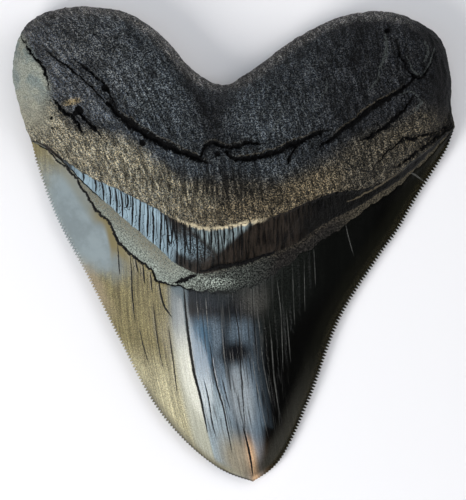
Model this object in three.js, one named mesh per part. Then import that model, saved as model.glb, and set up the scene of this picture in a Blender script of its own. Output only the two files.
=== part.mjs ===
// A fossil shark tooth lying on its flat outer face, with the swollen inner face up.
// Millimetres. +Y runs from the tip to the root lobes, +X to the right lobe, +Z up.
// The tooth is one closed solid: a front sheet and a back sheet over the same outline.
// Both sheets are height functions of the place inside the outline, and they meet
// along the cutting edges, the sides of the root and the top of the two lobes.

import * as THREE from 'three';
import { ParametricGeometry } from 'three/addons/geometries/ParametricGeometry.js';
import { mergeVertices } from 'three/addons/utils/BufferGeometryUtils.js';

// Heights of the middle of the rim above the resting plane.
const TIP_RIM = 3.2;
const CUTTING_RIM = 3.8;
const ROOT_RIM = 8.8;

// Swelling of the inner face above the rim.
const CROWN_RISE = 15.2;
const CROWN_RISE_LENGTH = 27;
const LOBE_RISE = 10;
const CENTRE_RISE = 12.4;
const CENTRE_PLACE = new THREE.Vector2(-2, 15);
const CENTRE_REACH = new THREE.Vector2(31, 21);
const NECK_DIP = 0.7;

// Rounding of the root's rim, measured inwards from the outline.
const FRONT_ROUND = 9.5;
const BACK_ROUND = 7;

// The back face is flat over the middle of the crown and turns up to the cutting edges and the tip.
const FLAT_SHARE = 0.42;
const TIP_TURN_UP = 20;

// Shallow hollow of the back face under the notch between the lobes.
const HOLLOW_DEPTH = 2.2;
const HOLLOW_PLACE = new THREE.Vector2(-2, 38);
const HOLLOW_REACH = new THREE.Vector2(17, 13);

// Grid of facets.
const COLUMNS = 34;
const CROWN_ROWS = 22;
const ROOT_ROWS = 26;
const OUTLINE_STEPS = 60;

const TIP = [5.1, -65.5];
const LEFT_CORNER = [-56.0, 28.5];
const RIGHT_CORNER = [60.6, 32.6];

// Shares of the root's own outline at which a side of the root turns into its top.
const LEFT_LOBE_SHARE = 0.155;
const RIGHT_LOBE_SHARE = 0.882;

const curveThrough = (points) => new THREE.SplineCurve(points.map(([x, y]) => new THREE.Vector2(x, y)));

const leftEdge = curveThrough([
  TIP, [-3.4, -61.9], [-13.6, -53.6], [-22.7, -42.6], [-31.8, -26.1],
  [-39.5, -9.6], [-48.3, 6.9], [-53.8, 20.5], LEFT_CORNER,
]);
const rightEdge = curveThrough([
  TIP, [12.2, -59.1], [20.5, -42.6], [29.0, -20.6], [38.9, -4.1],
  [49.6, 12.4], [57.6, 25.2], RIGHT_CORNER,
]);
// The root's outline from the left corner over both lobes to the right corner.
const rootOutline = curveThrough([
  LEFT_CORNER, [-59.4, 39.5], [-60.5, 50.5], [-56.6, 60.6], [-48.3, 64.6], [-38.4, 65.4],
  [-28.4, 63.2], [-19.4, 56.4], [-11.6, 47.8], [-2.8, 43.7], [5.1, 48.0], [16.6, 56.4],
  [27.0, 61.6], [38.6, 64.1], [48.8, 61.9], [56.2, 56.6], [58.9, 47.0], [59.6, 39.0], RIGHT_CORNER,
]);

// A stretch of the root's outline between two shares of its length, read like a curve.
const stretchOfRoot = (from, to) => ({
  getPointAt: (share) => rootOutline.getPointAt(THREE.MathUtils.lerp(from, to, share)),
});
const leftFlank = stretchOfRoot(0, LEFT_LOBE_SHARE);
const rootTop = stretchOfRoot(LEFT_LOBE_SHARE, RIGHT_LOBE_SHARE);
const rightFlank = stretchOfRoot(1, RIGHT_LOBE_SHARE);

const enamelBorder = curveThrough([
  LEFT_CORNER, [-46.9, 23.7], [-36.0, 7.7], [-26.0, -5.5], [-16.6, -10.7], [-1.2, -8.8],
  [18.8, -0.3], [36.4, 11.3], [50.5, 22.5], RIGHT_CORNER,
]);

const tracedOutline = [
  ...leftEdge.getSpacedPoints(OUTLINE_STEPS),
  ...rootOutline.getSpacedPoints(4 * OUTLINE_STEPS),
  ...rightEdge.getSpacedPoints(OUTLINE_STEPS).reverse(),
];

const ramp = (low, high, value) => THREE.MathUtils.smoothstep(value, low, high);

// Shortest distance from a place to the outline, over the straight steps of the outline.
function distanceToOutline(place) {
  let nearest = Infinity;
  for (let i = 0; i < tracedOutline.length; i += 1) {
    const start = tracedOutline[i];
    const end = tracedOutline[(i + 1) % tracedOutline.length];
    const along = new THREE.Vector2().subVectors(end, start);
    const offset = new THREE.Vector2().subVectors(place, start);
    const lengthSq = along.lengthSq();
    const share = lengthSq > 0 ? THREE.MathUtils.clamp(offset.dot(along) / lengthSq, 0, 1) : 0;
    nearest = Math.min(nearest, offset.addScaledVector(along, -share).length());
  }
  return nearest;
}

// Where a side of the tooth lies at a height y, by straight steps along its sampled points.
function sideAt(points, y) {
  for (let i = 1; i < points.length; i += 1) {
    if (points[i].y >= y && points[i].y > points[i - 1].y) {
      return THREE.MathUtils.mapLinear(Math.max(y, points[i - 1].y), points[i - 1].y, points[i].y,
        points[i - 1].x, points[i].x);
    }
  }
  return points[points.length - 1].x;
}

function sidePoints(edge, flank) {
  const shares = Array.from({ length: OUTLINE_STEPS + 1 }, (unused, i) => i / OUTLINE_STEPS);
  return [...edge.getSpacedPoints(OUTLINE_STEPS), ...shares.map((share) => flank.getPointAt(share))];
}

const leftSide = sidePoints(leftEdge, leftFlank);
const rightSide = sidePoints(rightEdge, rightFlank);

// -1 on the left side, 0 midway and 1 on the right side.
function acrossAt(place) {
  const left = sideAt(leftSide, place.y);
  const right = sideAt(rightSide, place.y);
  const half = Math.max((right - left) / 2, 0.01);
  return THREE.MathUtils.clamp((place.x - (left + right) / 2) / half, -1, 1);
}

// Height of the enamel's border at x, from its sampled points, which run left to right.
const borderPoints = enamelBorder.getSpacedPoints(2 * OUTLINE_STEPS);
function borderHeight(x) {
  const next = Math.max(1, borderPoints.findIndex((point) => point.x >= x));
  const from = borderPoints[next - 1];
  const to = borderPoints[next];
  return THREE.MathUtils.mapLinear(x, from.x, to.x, from.y, to.y);
}

const bump = (place, centre, reach) => Math.exp(
  -(((place.x - centre.x) / reach.x) ** 2) - ((place.y - centre.y) / reach.y) ** 2);

const quarterRound = (share) => Math.sqrt(1 - (1 - Math.min(share, 1)) ** 2);

function rimHeight(y) {
  const crown = THREE.MathUtils.lerp(TIP_RIM, CUTTING_RIM, ramp(-65, -20, y));
  return THREE.MathUtils.lerp(crown, ROOT_RIM, ramp(16, 46, y));
}

function frontHeight(place) {
  const across = acrossAt(place);
  const aboveBorder = place.y - borderHeight(place.x);
  const rootShare = ramp(-6, 21, aboveBorder);
  const lens = (1 - across ** 2) ** 1.12;
  const crown = CROWN_RISE * (1 - Math.exp(-(place.y - TIP[1]) / CROWN_RISE_LENGTH)) * lens;
  const plateau = LOBE_RISE + CENTRE_RISE * bump(place, CENTRE_PLACE, CENTRE_REACH);
  const root = plateau * quarterRound(distanceToOutline(place) / FRONT_ROUND);
  const dip = NECK_DIP * Math.exp(-(((aboveBorder - 4) / 4) ** 2)) * lens;
  return rimHeight(place.y) + THREE.MathUtils.lerp(crown, root, rootShare) - dip;
}

function backHeight(place) {
  const across = Math.abs(acrossAt(place));
  const rim = rimHeight(place.y);
  const rootShare = ramp(14, 36, place.y);
  const turnedUp = Math.max(0, (across - FLAT_SHARE) / (1 - FLAT_SHARE)) ** 2;
  const crown = THREE.MathUtils.lerp(rim, rim * turnedUp, quarterRound((place.y - TIP[1]) / TIP_TURN_UP));
  const root = rim * (1 - quarterRound(distanceToOutline(place) / BACK_ROUND));
  const hollow = HOLLOW_DEPTH * Math.max(0, bump(place, HOLLOW_PLACE, HOLLOW_REACH) - 0.2);
  return THREE.MathUtils.lerp(crown, root, rootShare) + hollow * ramp(0, BACK_ROUND, distanceToOutline(place));
}

// Place inside the outline. The row goes from the tip (0) over the enamel border (1) to the
// top of the root (2). The column goes from the left side (0) to the right side (1).
function placeInOutline(column, row) {
  const inRoot = row > 1;
  const share = inRoot ? row - 1 : row;
  const left = inRoot ? leftFlank.getPointAt(share) : leftEdge.getPointAt(share);
  const right = inRoot ? rightFlank.getPointAt(share) : rightEdge.getPointAt(share);
  const place = left.clone().lerp(right, column);
  const borderBow = bowOf(enamelBorder, column);
  if (inRoot) {
    return place.addScaledVector(borderBow, 1 - share).addScaledVector(bowOf(rootTop, column), share);
  }
  return place.addScaledVector(borderBow, share ** 1.4);
}

// How far a curve leaves the straight line between its own ends.
function bowOf(curve, share) {
  const chord = curve.getPointAt(0).lerp(curve.getPointAt(1), share);
  return curve.getPointAt(share).sub(chord);
}

// Columns close up towards both sides and rows towards the top of the root, where the rim turns over.
const CLUSTER = 0.55;
const spreadColumns = (share) => THREE.MathUtils.lerp(share, (1 - Math.cos(Math.PI * share)) / 2, CLUSTER);
const spreadRows = (share) => THREE.MathUtils.lerp(share, Math.sin((Math.PI / 2) * share), 0.8);

function toothSurface(around, along, target) {
  const front = around <= 0.5;
  const column = spreadColumns(front ? 2 * around : 2 - 2 * around);
  const steps = along * (CROWN_ROWS + ROOT_ROWS);
  const row = steps <= CROWN_ROWS ? steps / CROWN_ROWS : 1 + spreadRows((steps - CROWN_ROWS) / ROOT_ROWS);
  const place = placeInOutline(column, row);
  const onRim = column < 1e-6 || column > 1 - 1e-6 || row > 2 - 1e-6 || row < 1e-6;
  const height = onRim ? rimHeight(place.y) : (front ? frontHeight(place) : backHeight(place));
  target.set(place.x, place.y, height);
}

// The parametric sheet closes on itself once the vertices that share a place are joined.
// The triangles that have shrunk to a line at the tip and along the top are left out.
function closedGeometry(sheet) {
  sheet.deleteAttribute('normal');
  sheet.deleteAttribute('uv');
  const merged = mergeVertices(sheet, 1e-3);
  const index = merged.getIndex();
  const kept = [];
  for (let i = 0; i < index.count; i += 3) {
    const corners = [index.getX(i), index.getX(i + 1), index.getX(i + 2)];
    if (new Set(corners).size === 3) kept.push(...corners);
  }
  merged.setIndex(kept);
  merged.computeVertexNormals();
  return merged;
}

// The origin is on the resting plane, under the middle of the tooth's length and width.
function centred(geometry) {
  geometry.computeBoundingBox();
  const middle = geometry.boundingBox.getCenter(new THREE.Vector3());
  return geometry.translate(-middle.x, -middle.y, -geometry.boundingBox.min.z);
}

const sheet = new ParametricGeometry(toothSurface, 2 * COLUMNS, CROWN_ROWS + ROOT_ROWS);
const fossil = new THREE.MeshStandardMaterial({ color: 0x4a4d4c, roughness: 0.5, metalness: 0 });
const tooth = new THREE.Mesh(centred(closedGeometry(sheet)), fossil);
tooth.name = 'megalodon_tooth';

const group = new THREE.Group();
group.add(tooth);

export default group;
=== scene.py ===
"""A fossil shark tooth on a pale table: forked charcoal root, cracked neck band, glossy serrated crown.

The tooth is one closed mesh in the frame of its CAD solid. +X runs to the right lobe, +Y from the tip
to the root, +Z up. Shapes are worked out in millimetres in the drawing frame of the outline, and are
turned to metres when they go into the mesh.
"""

import math
from types import SimpleNamespace

import bpy
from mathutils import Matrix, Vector
import numpy as np


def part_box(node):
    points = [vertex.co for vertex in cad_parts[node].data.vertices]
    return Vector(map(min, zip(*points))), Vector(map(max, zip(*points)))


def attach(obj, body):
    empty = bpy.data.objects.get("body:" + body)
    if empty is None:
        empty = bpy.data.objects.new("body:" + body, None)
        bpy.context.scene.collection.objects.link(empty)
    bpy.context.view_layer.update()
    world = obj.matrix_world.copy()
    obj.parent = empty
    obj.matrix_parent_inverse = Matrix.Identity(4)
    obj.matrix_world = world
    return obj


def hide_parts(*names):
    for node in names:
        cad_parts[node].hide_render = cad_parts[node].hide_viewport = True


bl_info = {
    "name": "Fossil Tooth",
    "version": (1, 0, 0),
    "blender": (4, 5, 0),
    "location": "View3D > Sidebar > Fossil Tooth",
    "description": "Builds a large fossil shark tooth and the table it lies on",
    "category": "Add Mesh",
}

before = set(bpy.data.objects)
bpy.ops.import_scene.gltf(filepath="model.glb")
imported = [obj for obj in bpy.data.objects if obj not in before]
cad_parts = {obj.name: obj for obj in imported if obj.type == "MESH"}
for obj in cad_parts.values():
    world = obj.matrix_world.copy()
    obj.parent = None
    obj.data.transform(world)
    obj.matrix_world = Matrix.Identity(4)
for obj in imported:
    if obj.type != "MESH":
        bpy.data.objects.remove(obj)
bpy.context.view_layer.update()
TOOTH_NODE = "megalodon_tooth"
TOOTH_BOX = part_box(TOOTH_NODE)

MM = 0.001
CRACK_REACH = 3.0       # how far out a crack is measured, in millimetres
SHARP_ANGLE = 62        # edges that turn more than this are shaded sharp, in degrees
TABLE_REACH = 4.0       # half the side of the table, in metres
LIGHT_DISTANCE = 0.9    # of the two large lights from the tooth, in metres
VIEW_CENTRE = (-0.0004, -0.0014)    # the place under the camera, in metres
ROOT_BUMP = 0.0013      # height of the root's finest grain, which only shading shows, in metres
ENAMEL_BUMP = 0.00015   # the same for the growth lines of the enamel


# ---------------------------------------------------------------------------
# Outline and feature lines, in millimetres
# ---------------------------------------------------------------------------

TIP = (5.1, -65.5)
LEFT_CORNER = (-56, 28.5)
RIGHT_CORNER = (60.6, 32.6)

LEFT_EDGE = [
    TIP, (-4.1, -61.9), (-14.1, -53.7), (-22.9, -42.6), (-31.5, -26.3),
    (-40.1, -9.3), (-48.7, 6.9), (-53.8, 20.5), LEFT_CORNER,
]
RIGHT_EDGE = [
    TIP, (12.8, -59), (20.6, -42.6), (28.7, -20.8), (39, -4.2),
    (44.9, 4.1), (49.7, 12.4), (57.6, 25.2), RIGHT_CORNER,
]
ROOT_OUTLINE = [
    LEFT_CORNER, (-59.4, 39.5), (-60.5, 50.5), (-56.6, 60.6), (-48.3, 64.6), (-38.4, 65.4),
    (-28.4, 63.2), (-19.4, 56.4), (-11.6, 47.8), (-2.8, 43.7), (5.1, 48), (16.6, 56.4),
    (27, 61.6), (38.6, 64.1), (48.8, 61.9), (56.2, 56.6), (58.9, 47), (59.6, 39), RIGHT_CORNER,
]
LEFT_LOBE_SHARE = 0.155
RIGHT_LOBE_SHARE = 0.882

# Where the swollen root ends over the neck band, where the dark band ends, and where the enamel begins.
ROOT_HEM = [
    LEFT_CORNER, (-51.8, 27.5), (-42.6, 20.6), (-33.8, 16.2), (-25, 11.9), (-16.3, 7.2), (-8.5, 4.6),
    (-2.5, 4.9), (4.3, 6.2), (10.9, 7.9), (18.8, 11.3), (26.8, 14.3), (36.4, 15.9), (45.2, 20.3),
    (53, 26.3), RIGHT_CORNER,
]
BAND_HEM = [
    LEFT_CORNER, (-51.5, 26.4), (-39.9, 15.8), (-33.8, 10.5), (-27.2, 4.6), (-20.6, -0.9), (-16.3, -4.8),
    (-9.6, -7.9), (-1.3, -5.8), (6.2, -3.7), (17.2, 0.8), (24.9, 6.1), (32, 9.6), (40.8, 14.9),
    (49.6, 21.4), RIGHT_CORNER,
]
ENAMEL_HEM = [
    LEFT_CORNER, (-51, 25.6), (-45.6, 20.6), (-42.1, 15.8), (-38.2, 10.1), (-34.9, 7), (-32.7, 2.2),
    (-29.4, -1.7), (-25.3, -4.9), (-21.6, -8.6), (-16.6, -11.4), (-10, -12), (-4.5, -13.6),
    (1, -12.6), (6, -11.6), (11.3, -8.1), (16.5, -3.4), (24.5, 1.8), (34, 8.4), (43, 14.6),
    (52, 22.6), RIGHT_CORNER,
]
# The hem of the enamel on the outer face, which lies on the table.
BACK_HEM = [LEFT_CORNER, (-40, 19), (-18, 13), (2, 12), (22, 15), (44, 23.5), RIGHT_CORNER]


# Each crack: its full width at the widest place, the share of that width at its ends, and its bends.
ROOT_CRACKS = [
    (0.46, 0.2, (-51.5, 52.8), (-45.9, 48.8), (-39.7, 43.7), (-36.5, 40.4), (-34, 36.9)),
    (0.55, 0.2, (-44.2, 51), (-38.6, 46.6), (-35.2, 43.2), (-33.2, 39.6), (-31.5, 36.6)),
    (1.9, 0.42, (-34.4, 38.6), (-31.8, 35.4), (-28.9, 33.4), (-24.1, 30.2), (-18.8, 27.2), (-12.6, 24.4),
     (-7.6, 22.2)),
    (1, 0.35, (-9, 22.6), (-8.4, 25.4), (-6.4, 27.4), (-3.4, 26.8), (-0.6, 26.2), (3.4, 27.6), (6.6, 27.2)),
    (1.45, 0.42, (-1.8, 24.6), (0.4, 23), (5.2, 23.4), (10.8, 24.9), (15.6, 27), (20.6, 29.1), (24.6, 31)),
    (1.25, 0.14, (22.4, 26.4), (26.4, 28.8), (29.7, 31.4), (35.6, 36.1), (41.4, 39.7), (45.8, 42.4),
     (49.9, 45.9)),
    (0.5, 0.1, (14, 21.6), (15.6, 24.6), (17.4, 27.6)),
    (0.8, 0.1, (33.8, 28.3), (40.3, 31.6), (43.2, 34.1), (46, 37), (48.4, 40.6)),
    (0.62, 0.1, (38.6, 22.4), (41.4, 25.3), (45.5, 28.8), (53.2, 30.3), (60, 33.4)),
    (0.8, 0.4, (44.5, 22), (51, 26.6), (59.6, 32)),
    (0.5, 0.1, (43.6, 56.6), (46.8, 48), (50.2, 45.2), (53, 48.6), (55, 53)),
    (0.95, 0.25, (-48.8, 39.4), (-47, 36.8), (-43.9, 34.6), (-41.5, 30.8)),
    (0.72, 0.2, (-43.2, 36.6), (-40, 33.6), (-36.1, 29.2)),
    (0.6, 0.3, (-57.9, 57), (-55.4, 52.4), (-51.7, 47.6), (-50.6, 43.4)),
]
NECK_CRACKS = [
    (1, 0.4, (-8.9, -7.2), (-5.4, -6.2), (-1.3, -5.5), (2.6, -4.9), (6.2, -3.7), (10.6, -2)),
    (0.95, 0.5, (-15.8, -10.2), (-13.6, -9.4), (-10.8, -8.6)),
    (0.26, 0.2, (-50.5, 26.3), (-45.8, 21.3), (-40, 15.7), (-36, 12.2)),
]
ENAMEL_CRACKS = [
    (0.64, 0.2, (-13.8, -11.6), (-13.3, -18.2), (-12.3, -26.6), (-11, -35.1), (-9.4, -41.4),
     (-8.1, -47.7), (-7.4, -51.5)),
    (0.3, 0, (-8.5, -35.9), (-7.2, -41.8), (-6, -49), (-4.7, -54.4)),
    (0.38, 0.15, (-6.9, -26), (-6.3, -30), (-5.7, -34.2), (-4.6, -39.3), (-3, -44.7), (-1.8, -51.1),
     (-0.5, -58)),
    (0.3, 0.3, (-0.4, -13.4), (0.3, -18.1), (1.2, -24.5), (1.7, -33), (2.1, -39.3), (2.5, -45.6), (3, -51)),
    (0.26, 0, (-3.4, -36), (-2.2, -41.5), (-1, -46)),
    (0.24, 0, (-26.4, -22), (-25, -28), (-23.2, -34)),
    (0.26, 0, (-22.4, -14), (-21.6, -22), (-20.4, -30), (-19, -36)),
    (0.5, 0.15, (2.2, -49.6), (3.5, -54.6), (4.5, -59.4), (5.1, -63.9)),
    (0.5, 0.3, (-20.6, -9.6), (-20.2, -13.2), (-19.2, -16.6), (-17.4, -19.4)),
    (0.3, 0, (-18.2, -21.5), (-17.2, -29), (-16.4, -35), (-15.6, -42.5)),
    (0.34, 0.2, (-28.5, -2.6), (-28.2, -8), (-28, -14), (-27.2, -21.8)),
    (0.3, 0.2, (-32, 0.4), (-31.8, -4), (-31.5, -8.4)),
    (0.4, 0.3, (-25.1, -5), (-24.9, -7.4), (-24.6, -10.6)),
    (0.34, 0.3, (-22.9, -7.4), (-22.8, -10), (-22.5, -13)),
    (0.42, 0.3, (-27, -3.7), (-26.9, -5.4), (-26.3, -7.6)),
]
# Splits on the right of the crown whose raised edges catch the light.
BRIGHT_SPLITS = [
    (0.24, 0.3, (-7.9, -13.8), (-7.5, -19.5), (-6.9, -26.5)),
    (0.26, 0.1, (-3.8, -15), (-3.3, -25), (-2, -38)),
    (0.24, 0, (-10.4, -14.5), (-9.7, -21.5)),
    (0.22, 0, (21.6, -0.4), (22, -7), (22.2, -12)),
    (0.26, 0, (4.6, -28.7), (5.8, -37.2), (7.9, -46.9), (9.5, -54.2)),
    (0.28, 0.2, (6, -16.4), (6.9, -24.1), (7.9, -33), (10.1, -43.7)),
    (0.28, 0.1, (9.2, -18.6), (10.2, -28.3), (10.9, -37.2), (12.7, -48.3)),
    (0.22, 0.2, (11.4, -8.3), (12.6, -18.2), (13, -26.6), (13.3, -35.6)),
    (0.22, 0, (14, -16.4), (14.9, -26.6), (15.5, -33.4)),
    (0.2, 0.2, (15.8, -3.6), (16, -11.9), (16.5, -22.8)),
    (0.17, 0.2, (18.9, -1.4), (19.1, -9.8), (19.3, -19.3)),
    (0.22, 0, (30.2, 6.6), (31.4, 1.6), (33, -3.6)),
    (0.4, 0, (47.3, 20.5), (50, 19.2), (52.6, 17.4)),
]
# Pale raised veins on the right lobe of the root and along the hem at its right end.
PALE_VEINS = [
    (0.9, 0, (40.9, 58), (41.4, 53.9), (40.6, 50.4), (39.4, 47.9)),
    (0.7, 0, (51.3, 55.4), (52.5, 52.8), (51.2, 49.6)),
    (0.5, 0.3, (47, 50.6), (48.5, 47.5), (50.8, 46), (52.6, 49.2), (54.4, 53.8)),
    (0.5, 0, (44.6, 41), (48.4, 41.6), (50.4, 38.6), (47.2, 35.4)),
    (0.5, 0, (35.8, 41.5), (38.6, 44.5), (39.4, 47.9)),
    (0.35, 0, (22, 38), (24.6, 41.6), (25.2, 45.5)),
    (0.5, 0, (9, 30), (12, 34), (12.6, 38)),
    (0.5, 0, (30, 11.4), (38, 15.4), (45, 20), (52, 26)),
    (0.5, 0, (-56.6, 53.2), (-52.6, 47.4), (-51.4, 42.6)),
]
# Dark upright cracks across the neck band: place along it, lean, and share of the band crossed.
CLEATS = [
    (-41.5, 0.2, 0.7), (-38.2, 0.3, 0.8), (-36.2, 0.4, 1), (-34.1, 0.3, 0.9), (-32.5, 0.5, 1),
    (-30.9, 0.4, 1), (-29.2, 0.1, 0.5), (-27.6, -0.3, 1), (-25.5, -0.5, 1), (-23.5, -0.2, 0.9),
    (-22.1, 0, 1), (-19.8, -0.4, 1), (-18.6, 0.5, 0.9), (-16.6, -0.5, 0.6), (-15.7, 0, 1),
    (-13.8, 0.3, 0.9), (-12.2, 0.2, 0.6), (-10.4, 0.3, 1), (-8.3, 0.2, 0.7), (-6.4, 0.1, 0.4),
    (-4.6, 0.2, 0.9), (-2.9, 0.1, 0.4), (-0.6, 0.2, 0.6), (1.8, 0.1, 0.8),
]
# The lower edge of the charcoal stain of the root.
COAL_HEM = [(-62, 44), (-52, 42), (-48, 37), (-45, 34), (-41, 31.5), (-35, 30),
            (-28, 27.5), (-22, 24), (-17, 20), (-11, 18.2), (3, 18.2), (9, 18.4), (16, 20),
            (22, 22.5), (29, 26.5), (36, 30.5), (47, 35.5), (51, 38), (56, 37.5), (62, 37)]
# The inner edge of the root's pale left flank, partly its own polished colour and partly painted light, as
# height and place across.
FLANK_EDGE = [(28, -51), (34, -50), (38, -50.2), (44, -50.4), (47.5, -51.6), (57, -57.8), (60, -60)]
# The line of a painted shadow that falls from the cleft between the lobes to the broken middle of the long
# crack.
FOLD = [(-15, 49), (-11.5, 42.5), (-8.5, 37), (-6, 32), (-5, 27)]
# Small round holes in the root: place x and y, radius and depth.
PITS = [
    (-24.8, 27.6, 0.75, 0.9), (-42.4, 36.6, 0.95, 1.3), (-43.6, 35.9, 0.6, 0.8), (-28.5, 32, 0.6, 0.7),
    (-37.7, 34.9, 0.4, 0.5), (-50, 34.6, 0.5, 0.6), (-49.8, 32.2, 0.42, 0.5), (-58.3, 53.4, 0.4, 0.4),
    (-35.2, 42.6, 0.9, 0.8), (41.6, 58.2, 0.75, 0.9), (-56, 45, 0.35, 0.4), (-53.4, 41, 0.4, 0.4),
    (-55.2, 38.6, 0.3, 0.3), (-52.2, 36.2, 0.35, 0.4), (38.2, 60.4, 0.35, 0.4), (2, 22.2, 0.5, 0.6),
    (-4.6, 24.6, 0.7, 0.8), (-2, 25, 0.5, 0.8), (24, 44, 0.4, 0.4), (-18, 48, 0.4, 0.4),
    (-44, 57.5, 0.4, 0.35),
]


# ---------------------------------------------------------------------------
# Curves, distances and noise as whole arrays
# ---------------------------------------------------------------------------

def spline(points, per_bend=32):
    """A uniform Catmull-Rom curve through the points, read at even steps of its own parameter."""
    p = np.asarray(points, float)
    before = np.vstack([p[:1], p[:-2]])
    after = np.vstack([p[2:], p[-1:]])
    start, end = p[:-1], p[1:]
    leave = (end - before) / 2
    arrive = (after - start) / 2
    t = np.linspace(0, 1, per_bend, endpoint=False)[:, None, None]
    cubic = 2 * start - 2 * end + leave + arrive
    square = -3 * start + 3 * end - 2 * leave - arrive
    bends = cubic * t**3 + square * t**2 + leave * t + start
    return np.vstack([bends.transpose(1, 0, 2).reshape(-1, 2), p[-1:]])


def along(path, shares):
    """Points at the given shares of a path's own length."""
    length = np.concatenate([[0], np.cumsum(np.hypot(*np.diff(path, axis=0).T))])
    at = np.asarray(shares) * length[-1]
    return np.stack([np.interp(at, length, path[:, k]) for k in (0, 1)], axis=-1)


def ramp(low, high, value):
    """0 below low, 1 above high, and the cubic 3s^2 - 2s^3 between them."""
    s = np.clip((value - low) / (high - low), 0, 1)
    return s * s * (3 - 2 * s)


def lerp(a, b, share):
    """a + (b - a) * share."""
    return a + (b - a) * share


def span(value, outer_low, low, high, outer_high):
    """1 from low to high, falling to 0 at both outer ends."""
    return ramp(outer_low, low, value) * ramp(outer_high, high, value)


def quarter_round(share):
    """Height of a quarter circle of radius 1 at a share of the way in from its upright side."""
    return np.sqrt(1 - (1 - np.clip(share, 0, 1)) ** 2)


def hump(value, width):
    """exp(-(value / width)^2)."""
    return np.exp(-((value / width) ** 2))


def bell(x, y, centre, reach):
    """A soft oval hill: exp(-(dx/rx)^2 - (dy/ry)^2)."""
    return np.exp(-(((x - centre[0]) / reach[0]) ** 2) - ((y - centre[1]) / reach[1]) ** 2)


def lattice(places, seed):
    """Smooth value noise from -1 to 1: hashed corners of the unit lattice, blended with 3f^2 - 2f^3."""
    cell = np.floor(places).astype(np.int64)
    f = places - cell
    f = f * f * (3 - 2 * f)
    total = np.zeros(len(places))
    for corner in np.ndindex(2, 2, 2):
        c = cell + corner
        mixed = (c[:, 0] * 73856093) ^ (c[:, 1] * 19349663) ^ (c[:, 2] * 83492791) ^ (seed * 2654435761)
        mixed = ((mixed & 0xFFFFFFFF) ^ ((mixed >> 13) & 0x7FFFF)) * 1274126177 & 0xFFFFFFFF
        mixed = (mixed ^ (mixed >> 15)) * 2246822519 & 0xFFFFFFFF
        mixed ^= mixed >> 13
        weight = np.prod(np.where(corner, f, 1 - f), axis=1)
        total += weight * (mixed / 2147483648.0 - 1)
    return total


def noise(places, size, seed, layers=3, rough=0.5):
    """Layers of lattice noise, each half the size of the last and rough times as strong."""
    places = places / np.asarray(size, float)
    total, strength, reach = np.zeros(len(places)), 1.0, 0.0
    for layer in range(layers):
        total += strength * lattice(places * 2**layer + 17.3 * layer, seed + layer)
        reach += strength
        strength *= rough
    return total / reach


def signed_distance(x, y, path):
    """Distance to a path, and the share of its length at the nearest point.

    The distance is positive on the left of the path's direction. Each straight step gives the
    nearest point on itself, and the least of the steps is kept.
    """
    start, step = path[:-1], np.diff(path, axis=0)
    size = np.hypot(*step.T)
    begun = np.concatenate([[0], np.cumsum(size)])
    near = np.full(len(x), 1e9)
    side = np.ones(len(x))
    share = np.zeros(len(x))
    for (sx, sy), (dx, dy), length, done in zip(start, step, size, begun):
        ox, oy = x - sx, y - sy
        t = np.clip((ox * dx + oy * dy) / max(length**2, 1e-12), 0, 1)
        gap = np.hypot(ox - t * dx, oy - t * dy)
        closer = gap < near
        near = np.where(closer, gap, near)
        side = np.where(closer, np.sign(dx * oy - dy * ox), side)
        share = np.where(closer, (done + t * length) / begun[-1], share)
    return near, side, share


def height_over(x, y, path):
    """How far a place lies above a line that runs left to right, square to the line."""
    level = np.interp(x, path[:, 0], path[:, 1])
    slope = np.interp(x, path[:, 0], np.gradient(path[:, 1]) / np.maximum(np.gradient(path[:, 0]), 1e-3))
    return (y - level) / np.sqrt(1 + slope**2)


def crack_field(x, y, cracks, bends=8):
    """Distance to the nearest crack with its side as the sign, the plain distance, and its half width.

    The nearest crack is the one whose own edge is nearest. Distances stop at CRACK_REACH.
    """
    gap = np.full(len(x), CRACK_REACH)
    signed, plain = gap.copy(), gap.copy()
    half = np.zeros(len(x))
    for width, blunt, *points in cracks:
        path = along(spline(points), np.linspace(0, 1, bends * (len(points) - 1) + 1))
        lo, hi = path.min(0) - CRACK_REACH, path.max(0) + CRACK_REACH
        box = np.flatnonzero((x > lo[0]) & (x < hi[0]) & (y > lo[1]) & (y < hi[1]))
        if not len(box):
            continue
        near, side, share = signed_distance(x[box], y[box], path)
        swell = blunt + (1 - blunt) * np.sin(np.pi * np.clip(share, 0, 1)) ** 0.6
        wide = width / 2 * swell
        closer = near - wide < gap[box]
        at, near, side, wide = box[closer], near[closer], side[closer], wide[closer]
        gap[at] = near - wide
        plain[at] = np.minimum(near, CRACK_REACH)
        signed[at] = plain[at] * side
        half[at] = wide
    return signed, plain, half


# ---------------------------------------------------------------------------
# The tooth's form
# ---------------------------------------------------------------------------

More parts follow.
